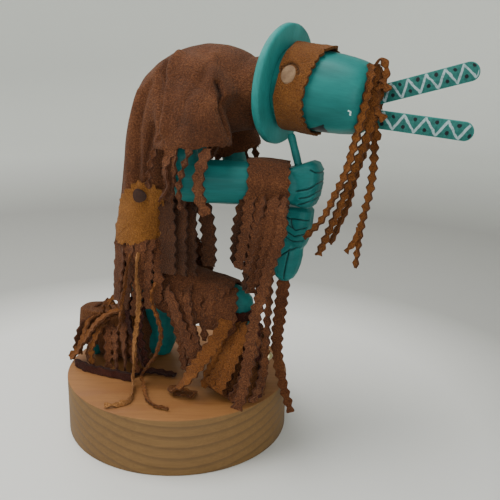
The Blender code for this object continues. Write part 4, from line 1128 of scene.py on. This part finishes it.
# each wrap: its limb, where it starts and ends there, how far it stands off, its ripple, the depth and the
# number of its teeth, its seed, and how it is held
wraps = {
    "forearmWrap": ("nearForearm", 47, 70.5, 1.0, 0.7, 1.8, 13, 3, "draped"),
    "farForearmWrap": ("farForearm", 24, 46, 1.0, 0.6, 1.8, 11, 6, "draped"),
    "thighWrap": ("nearThigh", 14, 63, 1.0, 1.0, 1.4, 10, 8, "draped"),
    "kneeGarter": ("nearShin", 4.6, 10.4, 0.6, 0.15, 0.6, 15, 5, "gathered"),
    "shinWrap": ("nearShin", 13.6, 22, 0.8, 0.4, 1.2, 12, 9, "gathered")}
wrapColumns, wrapRows, wrapHide = 110, 16, 1.4


def wrapped(name, hide, node):
    key, start, end, grow, ripple, tooth, teeth, seed, held = wraps[name]
    cut = between(figure[key], start, end)
    centres = [Vector(s[0]) for s in cut]
    walked = distances(centres)
    ways = headings(centres)
    phases = np.random.default_rng(seed).uniform(0, 6.28, 8)
    points, edges = [], []
    for i in range(wrapRows + 1):
        share = i / wrapRows
        rim = {0: -tooth, wrapRows: tooth}.get(i, 0)
        for k, turn in enumerate(turns(wrapColumns)):
            saw = abs(((k / wrapColumns * teeth) % 1) * 2 - 1) - 0.5
            reach = walked[-1] * share + rim * saw
            j = 0
            while j < len(walked) - 2 and walked[j + 1] < reach:
                j += 1
            part = (reach - walked[j]) / max(walked[j + 1] - walked[j], 1e-6)
            inside = min(max(part, 0), 1)
            way = (ways[j] * (1 - inside) + ways[j + 1] * inside).normalized()
            width, height = (cut[j][n] + (cut[j + 1][n] - cut[j][n]) * part + grow for n in (1, 2))
            across = (far - way * far.dot(way)).normalized()
            high = way.cross(across)
            fold = ripple * (math.sin(4 * turn + phases[0] + share * 2)
                             + 0.6 * math.sin(7 * turn + phases[1] - share * 3)
                             + 0.5 * math.sin(11 * turn + phases[2])) / 2
            fold = max(fold + ripple * 0.5 * math.sin(share * 7 + phases[3] + turn), -0.1)
            centre = centres[j] + (centres[j + 1] - centres[j]) * part
            points.append(place(centre + across * (math.cos(turn) * (width + fold))
                                + high * (math.sin(turn) * (height + fold))))
            edges.append(1.0 if rim else 0.0)
    piece = newMesh(name, points, grid(wrapRows + 1, wrapColumns))
    rootFaces = list(piece.data.polygons)[:wrapColumns]
    if sum(face.normal.dot(face.center - place(centres[0])) for face in rootFaces) < 0:
        piece.data.flip_normals()
    mark(piece, "acrossShare", edges)
    thickened(piece, wrapHide, 55)
    inHide(piece, hide, node)


def laidOn(name, ground, outline, look, lift, thickness, rings, ripple=0.0, seed=1):
    # a flat piece pressed on a skin: its outline is seen along look
    across = up.cross(look)
    centre = sum((Vector(p) for p in outline), Vector((0, 0))) / len(outline)
    origin = Vector((0, 0, baseTop)) * mm
    points = []
    phases = np.random.default_rng(seed).uniform(0, 6.28, 4)
    for i in range(rings + 1):
        share = i / rings
        for k, p in enumerate(outline):
            a, b = centre + (Vector(p) - centre) * share if i else centre
            hit, spot, normal, _ = ground.ray_cast(origin + (across * a + up * b + look * 90) * mm, -look)
            if not hit:
                spot, normal = origin + (across * a + up * b + look * 20) * mm, look
            wave = math.sin(a * 0.5 + phases[0]) + math.sin(b * 0.6 + phases[1])
            rise = lift + ripple * wave * share ** 2
            if i == rings and k % 5 == 0:
                rise += 0.5 * ripple
            points.append(spot + normal * max(rise, 0.05) * mm)
    piece = newMesh(name, points, grid(rings + 1, len(outline)))
    form = bmesh.new()
    form.from_mesh(piece.data)
    bmesh.ops.remove_doubles(form, verts=form.verts, dist=0.00001)
    bmesh.ops.recalc_face_normals(form, faces=form.faces)
    if sum(face.normal.dot(look) for face in form.faces) < 0:
        bmesh.ops.reverse_faces(form, faces=form.faces)
    inside = [v for v in form.verts if not v.is_boundary]
    for _ in range(3):
        bmesh.ops.smooth_vert(form, verts=inside, factor=0.5, use_axis_x=True, use_axis_y=True,
                              use_axis_z=True)
    layer = form.verts.layers.float.new("acrossShare")
    for v in form.verts:
        v[layer] = 1.0 if v.is_boundary else 0.0
    form.to_mesh(piece.data)
    form.free()
    thickened(piece, thickness, 50)
    return piece


def pinkedOutline(outline, pitch=5.0, depth=1.8):
    points = []
    for (x0, y0), (x1, y1) in zip(outline, outline[1:] + outline[:1]):
        length = math.hypot(x1 - x0, y1 - y0)
        count = 4 * max(1, round(length / pitch))
        for j in range(count):
            share = j / count
            out = -math.cos(math.pi * j / 2) * depth / 2 / length
            points.append((x0 + (x1 - x0) * share + (y0 - y1) * out,
                           y0 + (y1 - y0) * share + (x1 - x0) * out))
    return points


# Where each fringe hangs, strip by strip: points down its middle, its width, the way it looks at its root and
# at its tip, and then, if they are given, what is left of the width at the tip and the turns of twist

sleeveFringe = (
    (((27.5, -49.5, 161), (22.6, -53, 150), (24, -52.8, 138.5), (18.2, -52, 130)), 5.2, near, nearBack, 0.85,
     0.12),
    (((37.5, -50.2, 161), (35.3, -54.5, 151), (32, -54, 138), (32.5, -53, 125.5)), 3.2, near, nearFront, 0.8,
     0.12),
    (((46.5, -47.5, 161), (46, -54, 152), (44.8, -55, 143), (46, -54.5, 133), (49.5, -54, 125.5)), 6.4, near,
     nearFront, 0.9, 0.05),
    (((24, -49.2, 161), (25.5, -51.6, 151), (25, -51.6, 142), (23.5, -51, 130)), 8.4, near, near, 0.9, 0.04),
    (((12, -43, 161), (9, -45, 151), (7, -44.5, 142), (5, -43, 134)), 4.4, near, nearBack, 0.85, -0.05))
farSleeveFringe = (
    (((31, 45.5, 156), (32, 51.5, 142), (30, 52, 130), (33, 51, 120)), 5.0, far, far, 0.9, 0.1),
    (((18, 47, 154), (15, 51, 138), (16, 52, 122), (12, 51, 112)), 5.0, far, far, 0.9, -0.1),
    (((24, 49, 154), (24, 52, 140), (22, 53, 126), (25, 52, 116)), 4.6, far, far, 0.9, 0.15),
    (((10.5, 41, 151), (5, 45, 134), (4, 44, 118)), 4.5, far, far, 0.9))
hemFringe = (
    (((-37.5, 2, 90), (-39.5, 2, 80), (-40.5, 1, 66), (-40, 1, 50)), 9.0, back, back),
    (((-37.5, -6, 90), (-39.5, -6, 80), (-40.5, -7, 67), (-40, -7, 51)), 9.0, back, back, 0.9, 0.04),
    (((-33.2, -12.8, 98), (-35.9, -14.8, 91), (-37, -14, 80), (-38.5, -14.5, 66), (-38, -15, 48)), 8.5,
     nearBack, back, 0.9, -0.04),
    (((-30.2, -18.3, 98), (-32.7, -20.7, 91), (-34, -20, 80), (-35, -21, 66), (-35, -21.5, 52)), 8.0,
     nearBack, nearBack, 0.9, 0.05),
    (((-25.2, -23.8, 98), (-27.5, -26.5, 91), (-28, -27, 80), (-29, -28, 66), (-30, -28, 53)), 8.0, nearBack,
     nearBack),
    (((-20.7, -26.8, 98), (-22.7, -29.7, 91), (-23, -30, 80), (-24, -31.5, 66), (-26, -31, 49)), 6.5,
     nearBack, nearBack, 0.8, 0.06),
    (((-14.2, -29.3, 98), (-15.8, -32.5, 91), (-16, -32.5, 78), (-18, -33, 66), (-21, -32, 50)), 7.0, near,
     nearBack),
    (((-7.2, -29.3, 98), (-8.4, -32.6, 91), (-9, -33, 78), (-10, -33.5, 64), (-12, -33, 47)), 7.5, near, near,
     0.9, -0.05),
    (((-2.2, -27.3, 98), (-3.1, -30.7, 91), (-2.5, -32.5, 78), (-3, -33.5, 66), (-1, -33.5, 54)), 6.5, near,
     near),
    (((2.8, -24.8, 98), (2.3, -28.2, 91), (4, -31, 80), (4, -32.5, 70), (3, -32.5, 58)), 6.5, nearFront,
     near))
farHemFringe = (
    (((-37.5, 8, 88), (-39.5, 8, 76), (-40, 8, 60), (-40, 7, 46)), 10.0, back, back),
    (((-35, 15, 88), (-38, 16, 74), (-38, 17, 58), (-38, 18, 40)), 9.0, back, far, 0.9, 0.05),
    (((-32, 20, 88), (-35, 22, 74), (-35, 23, 56), (-36, 24, 42)), 10.0, far, far),
    (((-22, 28, 88), (-23, 31, 74), (-25, 31.5, 56), (-26, 32, 38)), 9.0, far, far, 0.9, -0.04),
    (((-17, 30, 88), (-18, 33, 74), (-18, 34, 56), (-18, 33, 44)), 9.0, far, far),
    (((-12, 29, 88), (-12, 32, 74), (-12, 32.5, 58), (-10, 32, 40)), 9.0, far, far, 0.9, 0.05),
    (((-3, 25, 88), (-1, 30, 74), (-1, 31, 58), (0, 31, 44)), 8.0, far, far),
    (((3, 16, 88), (8, 24, 74), (9, 27, 60), (8, 27, 48)), 7.0, far, far))
hemPanels = (
    (((6, -23, 127), (10, -29.5, 114), (12.5, -32.8, 100), (12, -32.5, 79)), 11.0, near, near),
    (((12, -18, 127), (17, -26, 114), (19, -30.5, 100), (19, -30, 79)), 11.0, near, near, 1.0, 0.02),
    (((9, -13, 130), (20, -22, 117), (25, -28, 102), (25, -27.5, 79)), 8.5, nearFront, near),
    (((14, -8, 132), (27, -15, 120), (33, -20, 106), (34, -20.5, 84)), 9.0, nearFront, near, 1.0, -0.02))
armFringe = (
    (((82, -22, 136), (86.5, -34, 128), (87, -37, 114), (83, -39, 99), (79, -39.5, 82), (75, -40, 66),
      (72, -41, 43), (69, -43, 17), (66, -45, 5)), 6.8, near, nearFront, 0.95, 0.03),
    (((75, -25, 136), (77.5, -36, 122), (75, -36.5, 108), (72, -35.5, 94), (69, -35, 77)), 6.4, near,
     nearFront, 0.9, -0.04),
    (((78, -24, 138), (80.5, -34, 128), (80.5, -37, 114), (78, -37.5, 99), (75.5, -37, 84)), 6.8, near,
     nearFront),
    (((72, -25, 140), (73, -33, 131), (72.5, -36.5, 117), (70, -35.5, 102), (66, -34, 88)), 6.8, near, near,
     0.9, 0.06),
    (((66, -28, 141), (67, -35.5, 129), (66, -36, 116), (63, -35, 103), (60, -33, 90)), 6.8, near, near, 0.9))
armUnderFringe = (
    (((70, -27, 136), (70, -33.5, 122), (68, -33, 108), (65, -31, 92), (63, -30, 76)), 5.4, near, near, 0.9,
     0.08),
    (((63, -29, 137), (61, -34, 123), (58, -32, 108), (56, -29, 92)), 6.0, near, nearFront, 0.9, -0.06),
    (((76, -24, 135), (76, -31, 120), (74, -31.5, 105), (72, -30, 88), (71, -29, 72)), 5.4, near, near, 0.9,
     0.1))
armRedStrip = (
    (((78, -24, 131), (82.5, -33.5, 112), (80.5, -34.5, 92), (80.5, -34.5, 74), (80, -34.5, 60),
      (80, -34.5, 44)), 5.0, near, near, 0.9, 0.06),)
farArmFringe = (
    (((37, 28, 118), (35, 27, 108), (36, 27, 96), (40, 27, 84)), 5.5, front, front, 0.9, 0.3),
    (((49, 22, 115), (49, 21, 102), (47, 21, 90), (49, 21, 76)), 5.5, near, front, 0.9, -0.3),
    (((43, 24, 117), (42, 23, 106), (43, 23, 92), (45, 24, 80)), 5.0, near, front, 0.9, 0.5),
    (((44, 36, 122), (45, 38, 110), (44, 38, 96), (47, 37, 82)), 6.5, far, far, 0.9, 0.1),
    (((57, 27, 116), (58, 29, 104), (57, 30, 90), (54, 29, 72)), 6.0, far, far, 0.9, -0.1))
thighFringe = (
    (((3, -22, 66), (6, -28.5, 59), (12, -29, 52), (17, -28.5, 40), (20, -28, 24), (21, -27, 13)), 7.0, near,
     near, 0.9, 0.05),
    (((8, -22, 68), (11, -28, 62), (16, -29.5, 54), (21, -29.5, 44), (24, -29, 30), (26, -28, 19)), 5.4, near,
     near, 0.9, -0.04),
    (((12, -22, 70), (15, -28.5, 65), (21, -30, 58), (26, -31, 47), (29, -30.5, 34), (32, -30, 24)), 7.6,
     near, nearFront, 0.8),
    (((6, -24, 70), (9, -30.5, 66.5), (14.2, -32.5, 60.5), (20.6, -33.5, 48), (27.1, -33.5, 34.3),
      (30.7, -33, 21)), 7.2, near, near, 0.9),
    (((22, -24, 70), (24.5, -31, 63.4), (28.3, -33.5, 49.8), (33, -33.5, 35), (33.5, -33, 20)), 4.8, near,
     nearFront, 0.9, 0.06),
    (((20, -23, 71), (22, -29, 64), (26, -30.5, 56), (29.5, -31, 48)), 9.0, near, near, 0.8),
    (((28, -22, 71), (29, -28.5, 64), (30, -30, 57), (31, -30.5, 49)), 8.0, near, nearFront, 0.8),
    (((45, -18, 71), (49, -26.5, 64), (50, -29, 56), (49, -29.5, 42)), 13.5, nearFront, nearFront),
    (((40, -20, 71), (42, -27.5, 65), (43, -30, 57), (42.5, -31, 47)), 11.0, near, nearFront),
    (((34, -21, 70), (34.5, -28, 60), (35, -29.5, 50), (36, -30, 38)), 4.4, near, nearFront, 0.9, 0.1))
thighTan = (
    (((50, -24, 61), (50, -32, 50), (44, -36, 38), (36, -39, 25), (27, -40, 12), (19, -38.5, 5),
      (17.5, -36, 2), (24, -35.5, 1.9), (32, -35, 1.8)), 8.6, nearFront, up, 0.85),)
leggingFringe = (
    (((53, -21.6, 46), (52, -25, 38), (47, -26, 24), (40, -24, 10), (37.5, -23, 2)), 7.0, near, near),
    (((58, -21.5, 46), (58, -25.5, 36), (53, -27, 20), (47, -26.5, 2)), 6.4, near, near, 0.9, 0.03),
    (((62, -17.5, 46), (62.5, -25, 36), (60.5, -29, 20), (57, -31, 2)), 8.0, nearFront, near),
    (((60, -20, 44), (60, -25, 34), (57, -28, 18), (51, -29, 2)), 6.0, near, near, 0.9, -0.03),
    (((63.3, -11.5, 46), (67, -18, 36), (68, -25, 20), (67, -29, 2)), 6.5, front, nearFront, 0.9, 0.04),
    (((63, -14, 44), (65, -21, 34), (65, -27, 18), (62, -30.5, 2)), 6.0, nearFront, nearFront),
    (((62.5, -6, 46), (66.5, -9, 36), (70, -13, 20), (70.5, -17, 2)), 6.0, front, front),
    (((55, -1.4, 46), (58, 4, 34), (59, 7, 18), (60, 8, 2)), 7.0, far, far),
    (((46, -1.6, 46), (43, 4, 34), (42, 6, 18), (38, 7, 2)), 7.0, far, far),
    (((51, -1, 46), (51, 5, 34), (51, 7, 18), (49, 8, 2)), 7.0, far, far, 0.9, 0.04))
leggingOchre = (
    (((58, -22, 51), (60.5, -27.5, 45), (58.5, -31, 35.4), (53.1, -33.5, 19.8), (47.2, -34, 7.6)), 7.4, near,
     near, 0.95),
    (((53, -21.5, 51), (54.3, -27, 45), (52.8, -30.5, 35.3), (47.5, -32, 22.6), (41.1, -33, 10.6)), 6.6, near,
     near, 0.95, 0.05),
    (((48, -21, 48), (48, -26, 40), (44.5, -28.5, 28), (38, -29, 14), (35, -29, 5)), 5.6, near, nearBack, 0.9,
     -0.08))
leggingFront = (
    (((66, -18, 50), (70.3, -27, 44), (68.6, -31, 32.2), (64.3, -34, 17.8), (58, -35, 3.9)), 6.2, nearFront,
     near, 0.95, 0.03),
    (((68, -14, 46), (73, -21, 38.8), (75.4, -27, 29), (74.6, -30, 17), (70, -31, 4)), 5.6, nearFront,
     nearFront, 0.9, -0.05))
leggingDark = (
    (((62, -20, 46), (65, -25, 38.5), (62.4, -28, 25.5), (58.8, -30.5, 10.9), (54, -31, 4)), 5.0, near, near,
     0.9, 0.08),
    (((52, -21, 44), (50, -23, 34), (44, -23.5, 18), (41, -23, 4)), 5.0, near, near, 0.9, 0.1),
    (((64, -11, 44), (69, -15, 34), (71.5, -21, 20), (71, -24, 4)), 4.6, front, nearFront, 0.9, -0.1),
    (((56, -21, 40), (55, -24, 30), (49, -25.5, 14), (44, -25.5, 3)), 4.6, near, near, 0.9, 0.15))
boot = {
    "foot": (((-24, 0, 12), 9, 10.5), ((-40, -4, 11.5), 12, 11), ((-56, -7, 11), 12, 10.5)),
    "body": (((-25, 2, 28), 11, 8), ((-31, 1, 26), 16, 15), ((-44, -4, 25), 16, 14), ((-53, -7, 24), 14, 12)),
    "heel": (((-61, -7, 10), 10, 10), ((-63, -7.5, 20), 10.5, 10.5), ((-63, -7.5, 36), 9.5, 9.5)),
    "tan": (
        (((-27, -13, 38), (-35, -19, 41), (-46, -23, 35), (-57, -25.5, 21), (-66, -27, 8), (-71, -28, 3)),
         6.4, up, nearBack, 0.9),
        (((-30, -12, 36), (-38, -18, 38), (-47, -21.5, 31), (-54, -24, 19), (-58, -26, 8)), 5.0, up, nearBack,
         0.8, 0.1),
        (((-44, -14, 32), (-47, -23, 28), (-52, -28, 15), (-50, -31, 3)), 4.6, up, near, 0.8, -0.1),
        (((-47, -13, 36), (-45.5, -16, 44), (-40, -15.5, 49), (-33, -15, 47), (-29, -14, 38)), 3.0, near,
         near),
        (((-52, -12, 34), (-50, -15, 41), (-44, -16, 45), (-37, -15, 42)), 2.6, near, near, 0.8),
        (((-54, -14, 34), (-60, -18, 30), (-63, -22, 18), (-64, -24, 6)), 5.0, up, nearBack, 0.8)),
    "brown": (
        (((-37, -12, 30), (-36, -23, 26), (-33, -27, 15), (-31, -29, 3)), 5.4, up, near, 0.8, 0.1),
        (((-30, -8, 28), (-25, -19, 25), (-20, -25, 14), (-17, -27, 3)), 5.4, up, near, 0.8, -0.1),
        (((-33, -10, 34), (-31, -21, 30), (-27, -26, 17), (-25, -28.5, 3)), 5.0, up, near, 0.8, 0.15),
        (((-41, -12, 32), (-41, -22, 27), (-39, -27.5, 15), (-37, -30, 3)), 5.4, up, near, 0.8, -0.12),
        (((-48, -12, 33), (-51, -21, 28), (-55, -26, 15), (-56, -28, 3)), 5.4, up, near, 0.8, 0.1),
        (((-26, -8, 34), (-20, -18, 30), (-14, -24, 20), (-12, -26, 8)), 4.6, up, near, 0.8, 0.1),
        (((-58, -14, 32), (-66, -17, 26), (-70, -20, 14), (-71, -21, 4)), 5.0, back, back, 0.8, 0.1),
        (((-60, -6, 38), (-70, -6, 30), (-73.5, -7, 16), (-73.5, -8, 4)), 6.0, back, back, 0.8, -0.05),
        (((-60, 1, 37), (-69, 4, 30), (-71, 6, 16), (-70, 7, 4)), 6.0, back, back, 0.8, 0.1),
        (((-50, 6, 34), (-54, 13, 28), (-56, 17, 15), (-57, 19, 3)), 6.0, far, far, 0.8, 0.1),
        (((-40, 10, 34), (-41, 18, 28), (-42, 21, 15), (-44, 23, 3)), 6.0, far, far, 0.8, -0.1)),
    "sole": ((((-62, -33, 3.2), (-48, -36, 3), (-32, -35.5, 3.4), (-14, -34.5, 3)), 5.8, near, near),),
    "tongue": ((((-20, -28, 1.6), (-13, -21, 1.7), (-4, -17.5, 1.6), (7, -17, 1.5)), 6.5, up, up),)}
redFringe = (
    (((-18, -22, 60), (-20, -29, 50), (-18, -31, 36), (-13, -30, 22), (-9, -29, 10)), 5.0, near, near, 0.8,
     0.1),
    (((-9, -24, 60), (-9, -31, 50), (-10, -33, 38), (-8, -32, 24), (-5, -31, 12)), 4.4, near, near, 0.8,
     -0.1))
laces = {
    "paleLace": ((-9, -33.5, 90), (-9, -35.8, 80), (-8, -37, 68), (-7, -37.5, 60), (-8, -38.3, 46),
                 (-10, -38.8, 29), (-11, -38.5, 14), (-11, -40, 5), (-5, -50, 2.2), (-1, -60, 1.9),
                 (-5, -68, 1.9), (-11, -72, 1.9)),
    "brownLace": ((4, -33.5, 72), (2, -36, 66), (3, -36.8, 58), (7, -37.3, 49), (9, -37.3, 39),
                  (5, -36.3, 26), (-3, -35.3, 14), (-9, -33, 5.4), (-5, -37, 2.4), (1, -45, 2.0),
                  (8, -53, 1.9), (17, -58, 1.9), (26, -58, 1.9)),
    "backLace": ((-14, -33, 90), (-16, -35.5, 80), (-18, -36.5, 68), (-20, -37, 56), (-22, -36.5, 44),
                 (-24, -36, 36))}
# each lace: its hide, its node if it has one, its width, its turns of twist and its seed
laceCuts = (("paleLace", "paleSuede", "pale_lace", 2.9, 0.9, 26),
            ("brownLace", "tanSuede", "brown_lace", 2.9, -0.7, 27),
            ("backLace", "tanSuede", None, 2.2, 0.5, 26))
hangingStrip = (
    (((76.8, -1.5, 79), (75, -1.5, 56), (73.5, -1.5, 32), (77, -2, 12), (82.5, -3, -4), (85.5, -3, -13)), 7.6,
     near, nearFront, 0.5),)
patch = {"outline": ((0.9, 130.6), (3.8, 134.2), (7.9, 134.9), (12.5, 134.2), (14.8, 131.7), (16.8, 127.3),
                     (17.4, 122.7), (16.4, 116.8), (17.2, 110), (16.6, 104), (17.2, 98.6), (14.6, 94.5),
                     (12.6, 97), (10.6, 92.6), (8.8, 95.8), (5.7, 92.3), (3.2, 94.8), (-0.1, 92),
                     (-3.8, 94.6), (-8.4, 91.9), (-12.8, 94.6), (-16.3, 93), (-17.8, 100), (-14.8, 106),
                     (-13.4, 112), (-7.2, 123.2)),
         "button": (7.2, 126.4), "radii": (2.52, 4.2), "cut": (0.044, 0.036)}
# the seam is the rolled edge round the middle of a bell
bells = {"centres": ((74, -20.5, 47), (75, -20, 32)), "radius": 3.0, "seam": {10: 0.16, 11: 0.22, 12: 0.16},
         "lace": ((61.5, -17.5, 58), (66, -22, 57), (70, -25, 54), (71, -26.5, 44), (71.5, -26.5, 30))}


def fringe(name, rows, hide, resting, node=None, held="hung", slot=None, **cut):
    piece = strips(name, rows, hides[hide], **cut)
    seated(piece, slot or hideTones[hide][0], *([node] if node else []))


def makeDress(cloak):
    fringe("sleeveFringe", sleeveFringe, "brownSuede", "suedeRobe", seed=3)
    fringe("farSleeveFringe", farSleeveFringe, "brownSuede", "suedeRobe", seed=5)
    fringe("hemFringe", hemFringe, "brownSuede", "suedeRobe", seed=6, crinkle=0.9, curl=0.9)
    fringe("farHemFringe", farHemFringe, "brownSuede", "suedeRobe", seed=7, crinkle=0.9, curl=0.9)
    fringe("hemPanels", hemPanels, "darkSuede", "suedeRobe", seed=8, crinkle=0.7)
    # patch and its button, pressed on the robe's hip
    plaque = laidOn("hipPatch", cloak, pinkedOutline(patch["outline"]), nearBack, 0.35, 1.4, 14, 0.35, 4)
    inHide(plaque, "ochreSuede", "hip_patch")
    (a, b), (wide, high) = patch["button"], patch["radii"]
    disc = [(a + wide * math.cos(turn), b + high * math.sin(turn)) for turn in turns(36)]
    button = laidOn("patchButton", plaque, disc, nearBack, 0.15, 1.3, 5)
    dressed(button, smoothLeather("buttonLeather", (40, 24, 18), (74, 48, 36)), "dark_leather",
            "patch_button")
    # forearms
    wrapped("forearmWrap", "brownSuede", "forearm_drape")
    fringe("armFringe", armFringe, "brownSuede", "forearmWrap", seed=9, pitch=6.0, depth=1.7)
    fringe("armUnderFringe", armUnderFringe, "darkSuede", "forearmWrap", seed=10)
    fringe("armRedStrip", armRedStrip, "reddishSuede", "forearmWrap", slot="red_brown_leather", seed=11)
    wrapped("farForearmWrap", "brownSuede", "far_forearm_drape")
    fringe("farArmFringe", farArmFringe, "darkSuede", "farForearmWrap", seed=12, curl=1.0)
    # raised thigh, knee and shin
    wrapped("thighWrap", "brownSuede", "thigh_drape")
    fringe("thighFringe", thighFringe, "brownSuede", "thighWrap", seed=13, crinkle=0.8)
    fringe("thighTan", thighTan, "tanSuede", "thighWrap", seed=14, curl=0.9)
    wrapped("kneeGarter", "redLeather", "knee_garter")
    wrapped("shinWrap", "ochreSuede", "legging")
    fringe("leggingFringe", leggingFringe, "ochreBrownSuede", "shinWrap", seed=15, crinkle=0.7)
    fringe("leggingOchre", leggingOchre, "tanSuede", "shinWrap", seed=31, crinkle=0.8, curl=0.9)
    fringe("leggingFront", leggingFront, "brownSuede", "shinWrap", seed=32, crinkle=0.8, curl=0.9)
    fringe("leggingDark", leggingDark, "redLeather", "shinWrap", seed=16)
    # boot on the kneeling leg
    parts = [limb("leg", boot["body"]), limb("foot", boot["foot"]),
             limb("heel", boot["heel"], squareness=0.6)]
    body = melted(joined("bootBody", parts), 1.2, 5)
    folded(body, (), 1.5, 19)
    onBase(body, 0.4)
    dressed(body, hides["ochreBrownSuede"], "brown_suede", "boot")
    fringe("bootTan", boot["tan"], "tanSuede", "bootBody", held="draped", seed=17, pitch=5.6, depth=1.6,
           crinkle=0.9)
    fringe("bootFringe", boot["brown"], "brownSuede", "bootBody", held="draped", seed=18, crinkle=0.9)
    fringe("bootSole", boot["sole"], "redLeather", "pineDisc", "boot_sole", "laid", seed=19, thickness=1.9,
           crinkle=1.0, depth=0.8)
    fringe("bootTongue", boot["tongue"], "redLeather", "pineDisc", "boot_tongue", "laid", seed=20)
    fringe("redFringe", redFringe, "redLeather", "suedeRobe", seed=21)
    # laces, each a narrow twisted cut of hide
    for name, hide, node, width, twist, seed in laceCuts:
        fringe(name, ((laces[name], width, nearBack, up, 0.75, twist),), hide, "suedeRobe", node,
               slot="ochre_suede", seed=seed, pitch=5.0, depth=0.8, thickness=1.5, crinkle=0.7)
    fringe("hangingStrip", hangingStrip, "reddishSuede", "farHand", "hanging_strip", seed=30, pitch=6.2,
           depth=1.8, crinkle=0.6, curl=0.8)
    print("dress hung")


def makeBells():
    fringe("bellLace", ((bells["lace"], 2.0, nearFront, nearFront),), "redLeather", "kneeGarter", "bell_lace",
           seed=40, pitch=9.0, depth=0.2, thickness=1.0)
    metal = brassMetal()
    r = bells["radius"]
    for k, centre in enumerate(bells["centres"]):
        c = Vector(centre)
        rings = []
        for j in range(1, 22):
            turn = math.pi * j / 22
            radius = (r * math.sin(turn) + bells["seam"].get(j, 0)) * mm
            rings.append(ringOf(place(c - up * r * math.cos(turn)), up, front, radius, radius, 40))
        ball = newMesh(f"jingleBell{k + 1}", *bridge(rings))
        corners = [(x * r * 1.3, y) for x, y in ((-1, -0.35), (1, -0.35), (1, 0.35), (-1, 0.35))]
        block = [[place(c + Vector((x, y, z * r))) for x, y in corners] for z in (-1.4, -0.35)]
        cutter = newMesh("slot", *bridge(block), smooth=False)
        slot = ball.modifiers.new("slot", "BOOLEAN")
        slot.object = cutter
        slot.operation = "DIFFERENCE"
        slot.solver = "EXACT"
        settled(ball, 50)
        bpy.data.objects.remove(cutter)
        dressed(ball, metal, "brass", f"jingle_bell_{k + 1}")
        loop = [ringOf(place(c + Vector((math.cos(turn), 0, r + 0.6 + math.sin(turn)))),
                       Vector((-math.sin(turn), 0, math.cos(turn))), far, 0.3 * mm, 0.3 * mm, 8)
                for turn in turns(20)]
        eye = newMesh(f"bellLoop{k + 1}", [p for ring in loop for p in ring], grid(20, 8, endless=True))
        dressed(eye, metal, "brass")


# Making everything

makeBase()
makeMask()
makeSticks()
makeBand()
makeHair()
print("base and head made")
makeFigure()
makeDress(makeRobe())
makeBells()


# Floor, light and camera

# each tone of the sweep with how far out it lies, the darker ones a ring of painted shade round the pale
# middle, and each light with its place, aim, size, power and tint
studio = {"tones": ((0.21, (212, 212, 208)), (0.32, (160, 160, 156)), (0.65, (146, 146, 142)),
                    (1.2, (206, 208, 203)), (1.9, (240, 242, 236))),
          "floorRadius": 1.3, "wallRadius": 1.9, "wallHeight": 2.4, "facets": 96, "room": 0.44,
          "sky": (0.90, 0.92, 0.94, 1.0),
          "lights": (("softTop", (-0.3, -0.2, 1.1), (0.03, 0, 0.08), 0.8, 13.5, (1.0, 0.985, 0.955)),
                     ("softFront", (0.75, -1.05, 0.4), (0.05, 0, 0.12), 0.9, 8.5, (0.97, 0.985, 1.0)),
                     ("softSide", (-0.85, -0.95, 0.55), (0.0, 0, 0.12), 0.9, 5.5, (0.98, 0.99, 1.0)),
                     ("softBack", (-0.9, 0.8, 0.9), (0, 0, 0.12), 0.8, 4.5, (1.0, 0.99, 0.97)))}


def makeStage():
    # a pale round sweep: the floor curves up into a wall on every side
    s = studio
    bend = s["wallRadius"] - s["floorRadius"]
    profile = [(0.02, 0.0), (0.3, 0.0), (0.7, 0.0), (s["floorRadius"], 0.0)]
    profile += [(s["floorRadius"] + bend * math.sin(t), bend * (1 - math.cos(t)))
                for t in np.linspace(0.13, math.pi / 2, 12)]
    profile.append((s["wallRadius"], s["wallHeight"]))
    points = [(r * math.cos(turn), r * math.sin(turn), z) for r, z in profile for turn in turns(s["facets"])]
    faces = grid(len(profile), s["facets"]) + [tuple(range(s["facets"]))]
    floor = newMesh("paleSweep", points, faces, outward=False)
    made, spot, shader = newMaterial("paleSweep", Roughness=0.7, Specular_IOR_Level=0.15)
    # the colour goes by how far out a spot lies: pale under the part, then a ring of painted shade, then pale
    # again towards the wall
    reach = (spot.part("X") * spot.part("X") + spot.part("Y") * spot.part("Y")).root() * 0.5
    plug(spot, shader, reach.ramp(*((out * 0.5, colour(*tone)) for out, tone in s["tones"])))
    floor.data.materials.append(made)
    world = bpy.data.worlds.new("softRoom")
    world.use_nodes = True
    sockets = world.node_tree.nodes["Background"].inputs
    sockets[0].default_value, sockets[1].default_value = s["sky"], s["room"]
    bpy.context.scene.world = world
    for name, spot, aim, size, power, tint in s["lights"]:
        light = bpy.data.lights.new(name, "AREA")
        light.size, light.energy, light.color = size, power, tint
        lamp = bpy.data.objects.new(name, light)
        lamp.location = spot
        lamp.rotation_euler = (Vector(aim) - Vector(spot)).to_track_quat("-Z", "Y").to_euler()
        bpy.context.scene.collection.objects.link(lamp)


photoView = {"lens": 51.84, "spot": (0.2301, -0.39854, 0.2587), "right": (0.910311, 0.413289, 0.022928),
             "high": (-0.137254, 0.249132, 0.958694), "behind": (0.390506, -0.875857, 0.283513)}


def makeCamera():
    lens = bpy.data.cameras.new("photoCamera")
    lens.lens = photoView["lens"]
    lens.sensor_width = 36.0
    camera = bpy.data.objects.new("photoCamera", lens)
    columns = (photoView["right"], photoView["high"], photoView["behind"], photoView["spot"])
    camera.matrix_world = Matrix([[column[row] for column in columns] for row in range(3)] + [[0, 0, 0, 1]])
    bpy.context.scene.collection.objects.link(camera)
    bpy.context.scene.camera = camera


makeStage()
makeCamera()
print("staged")
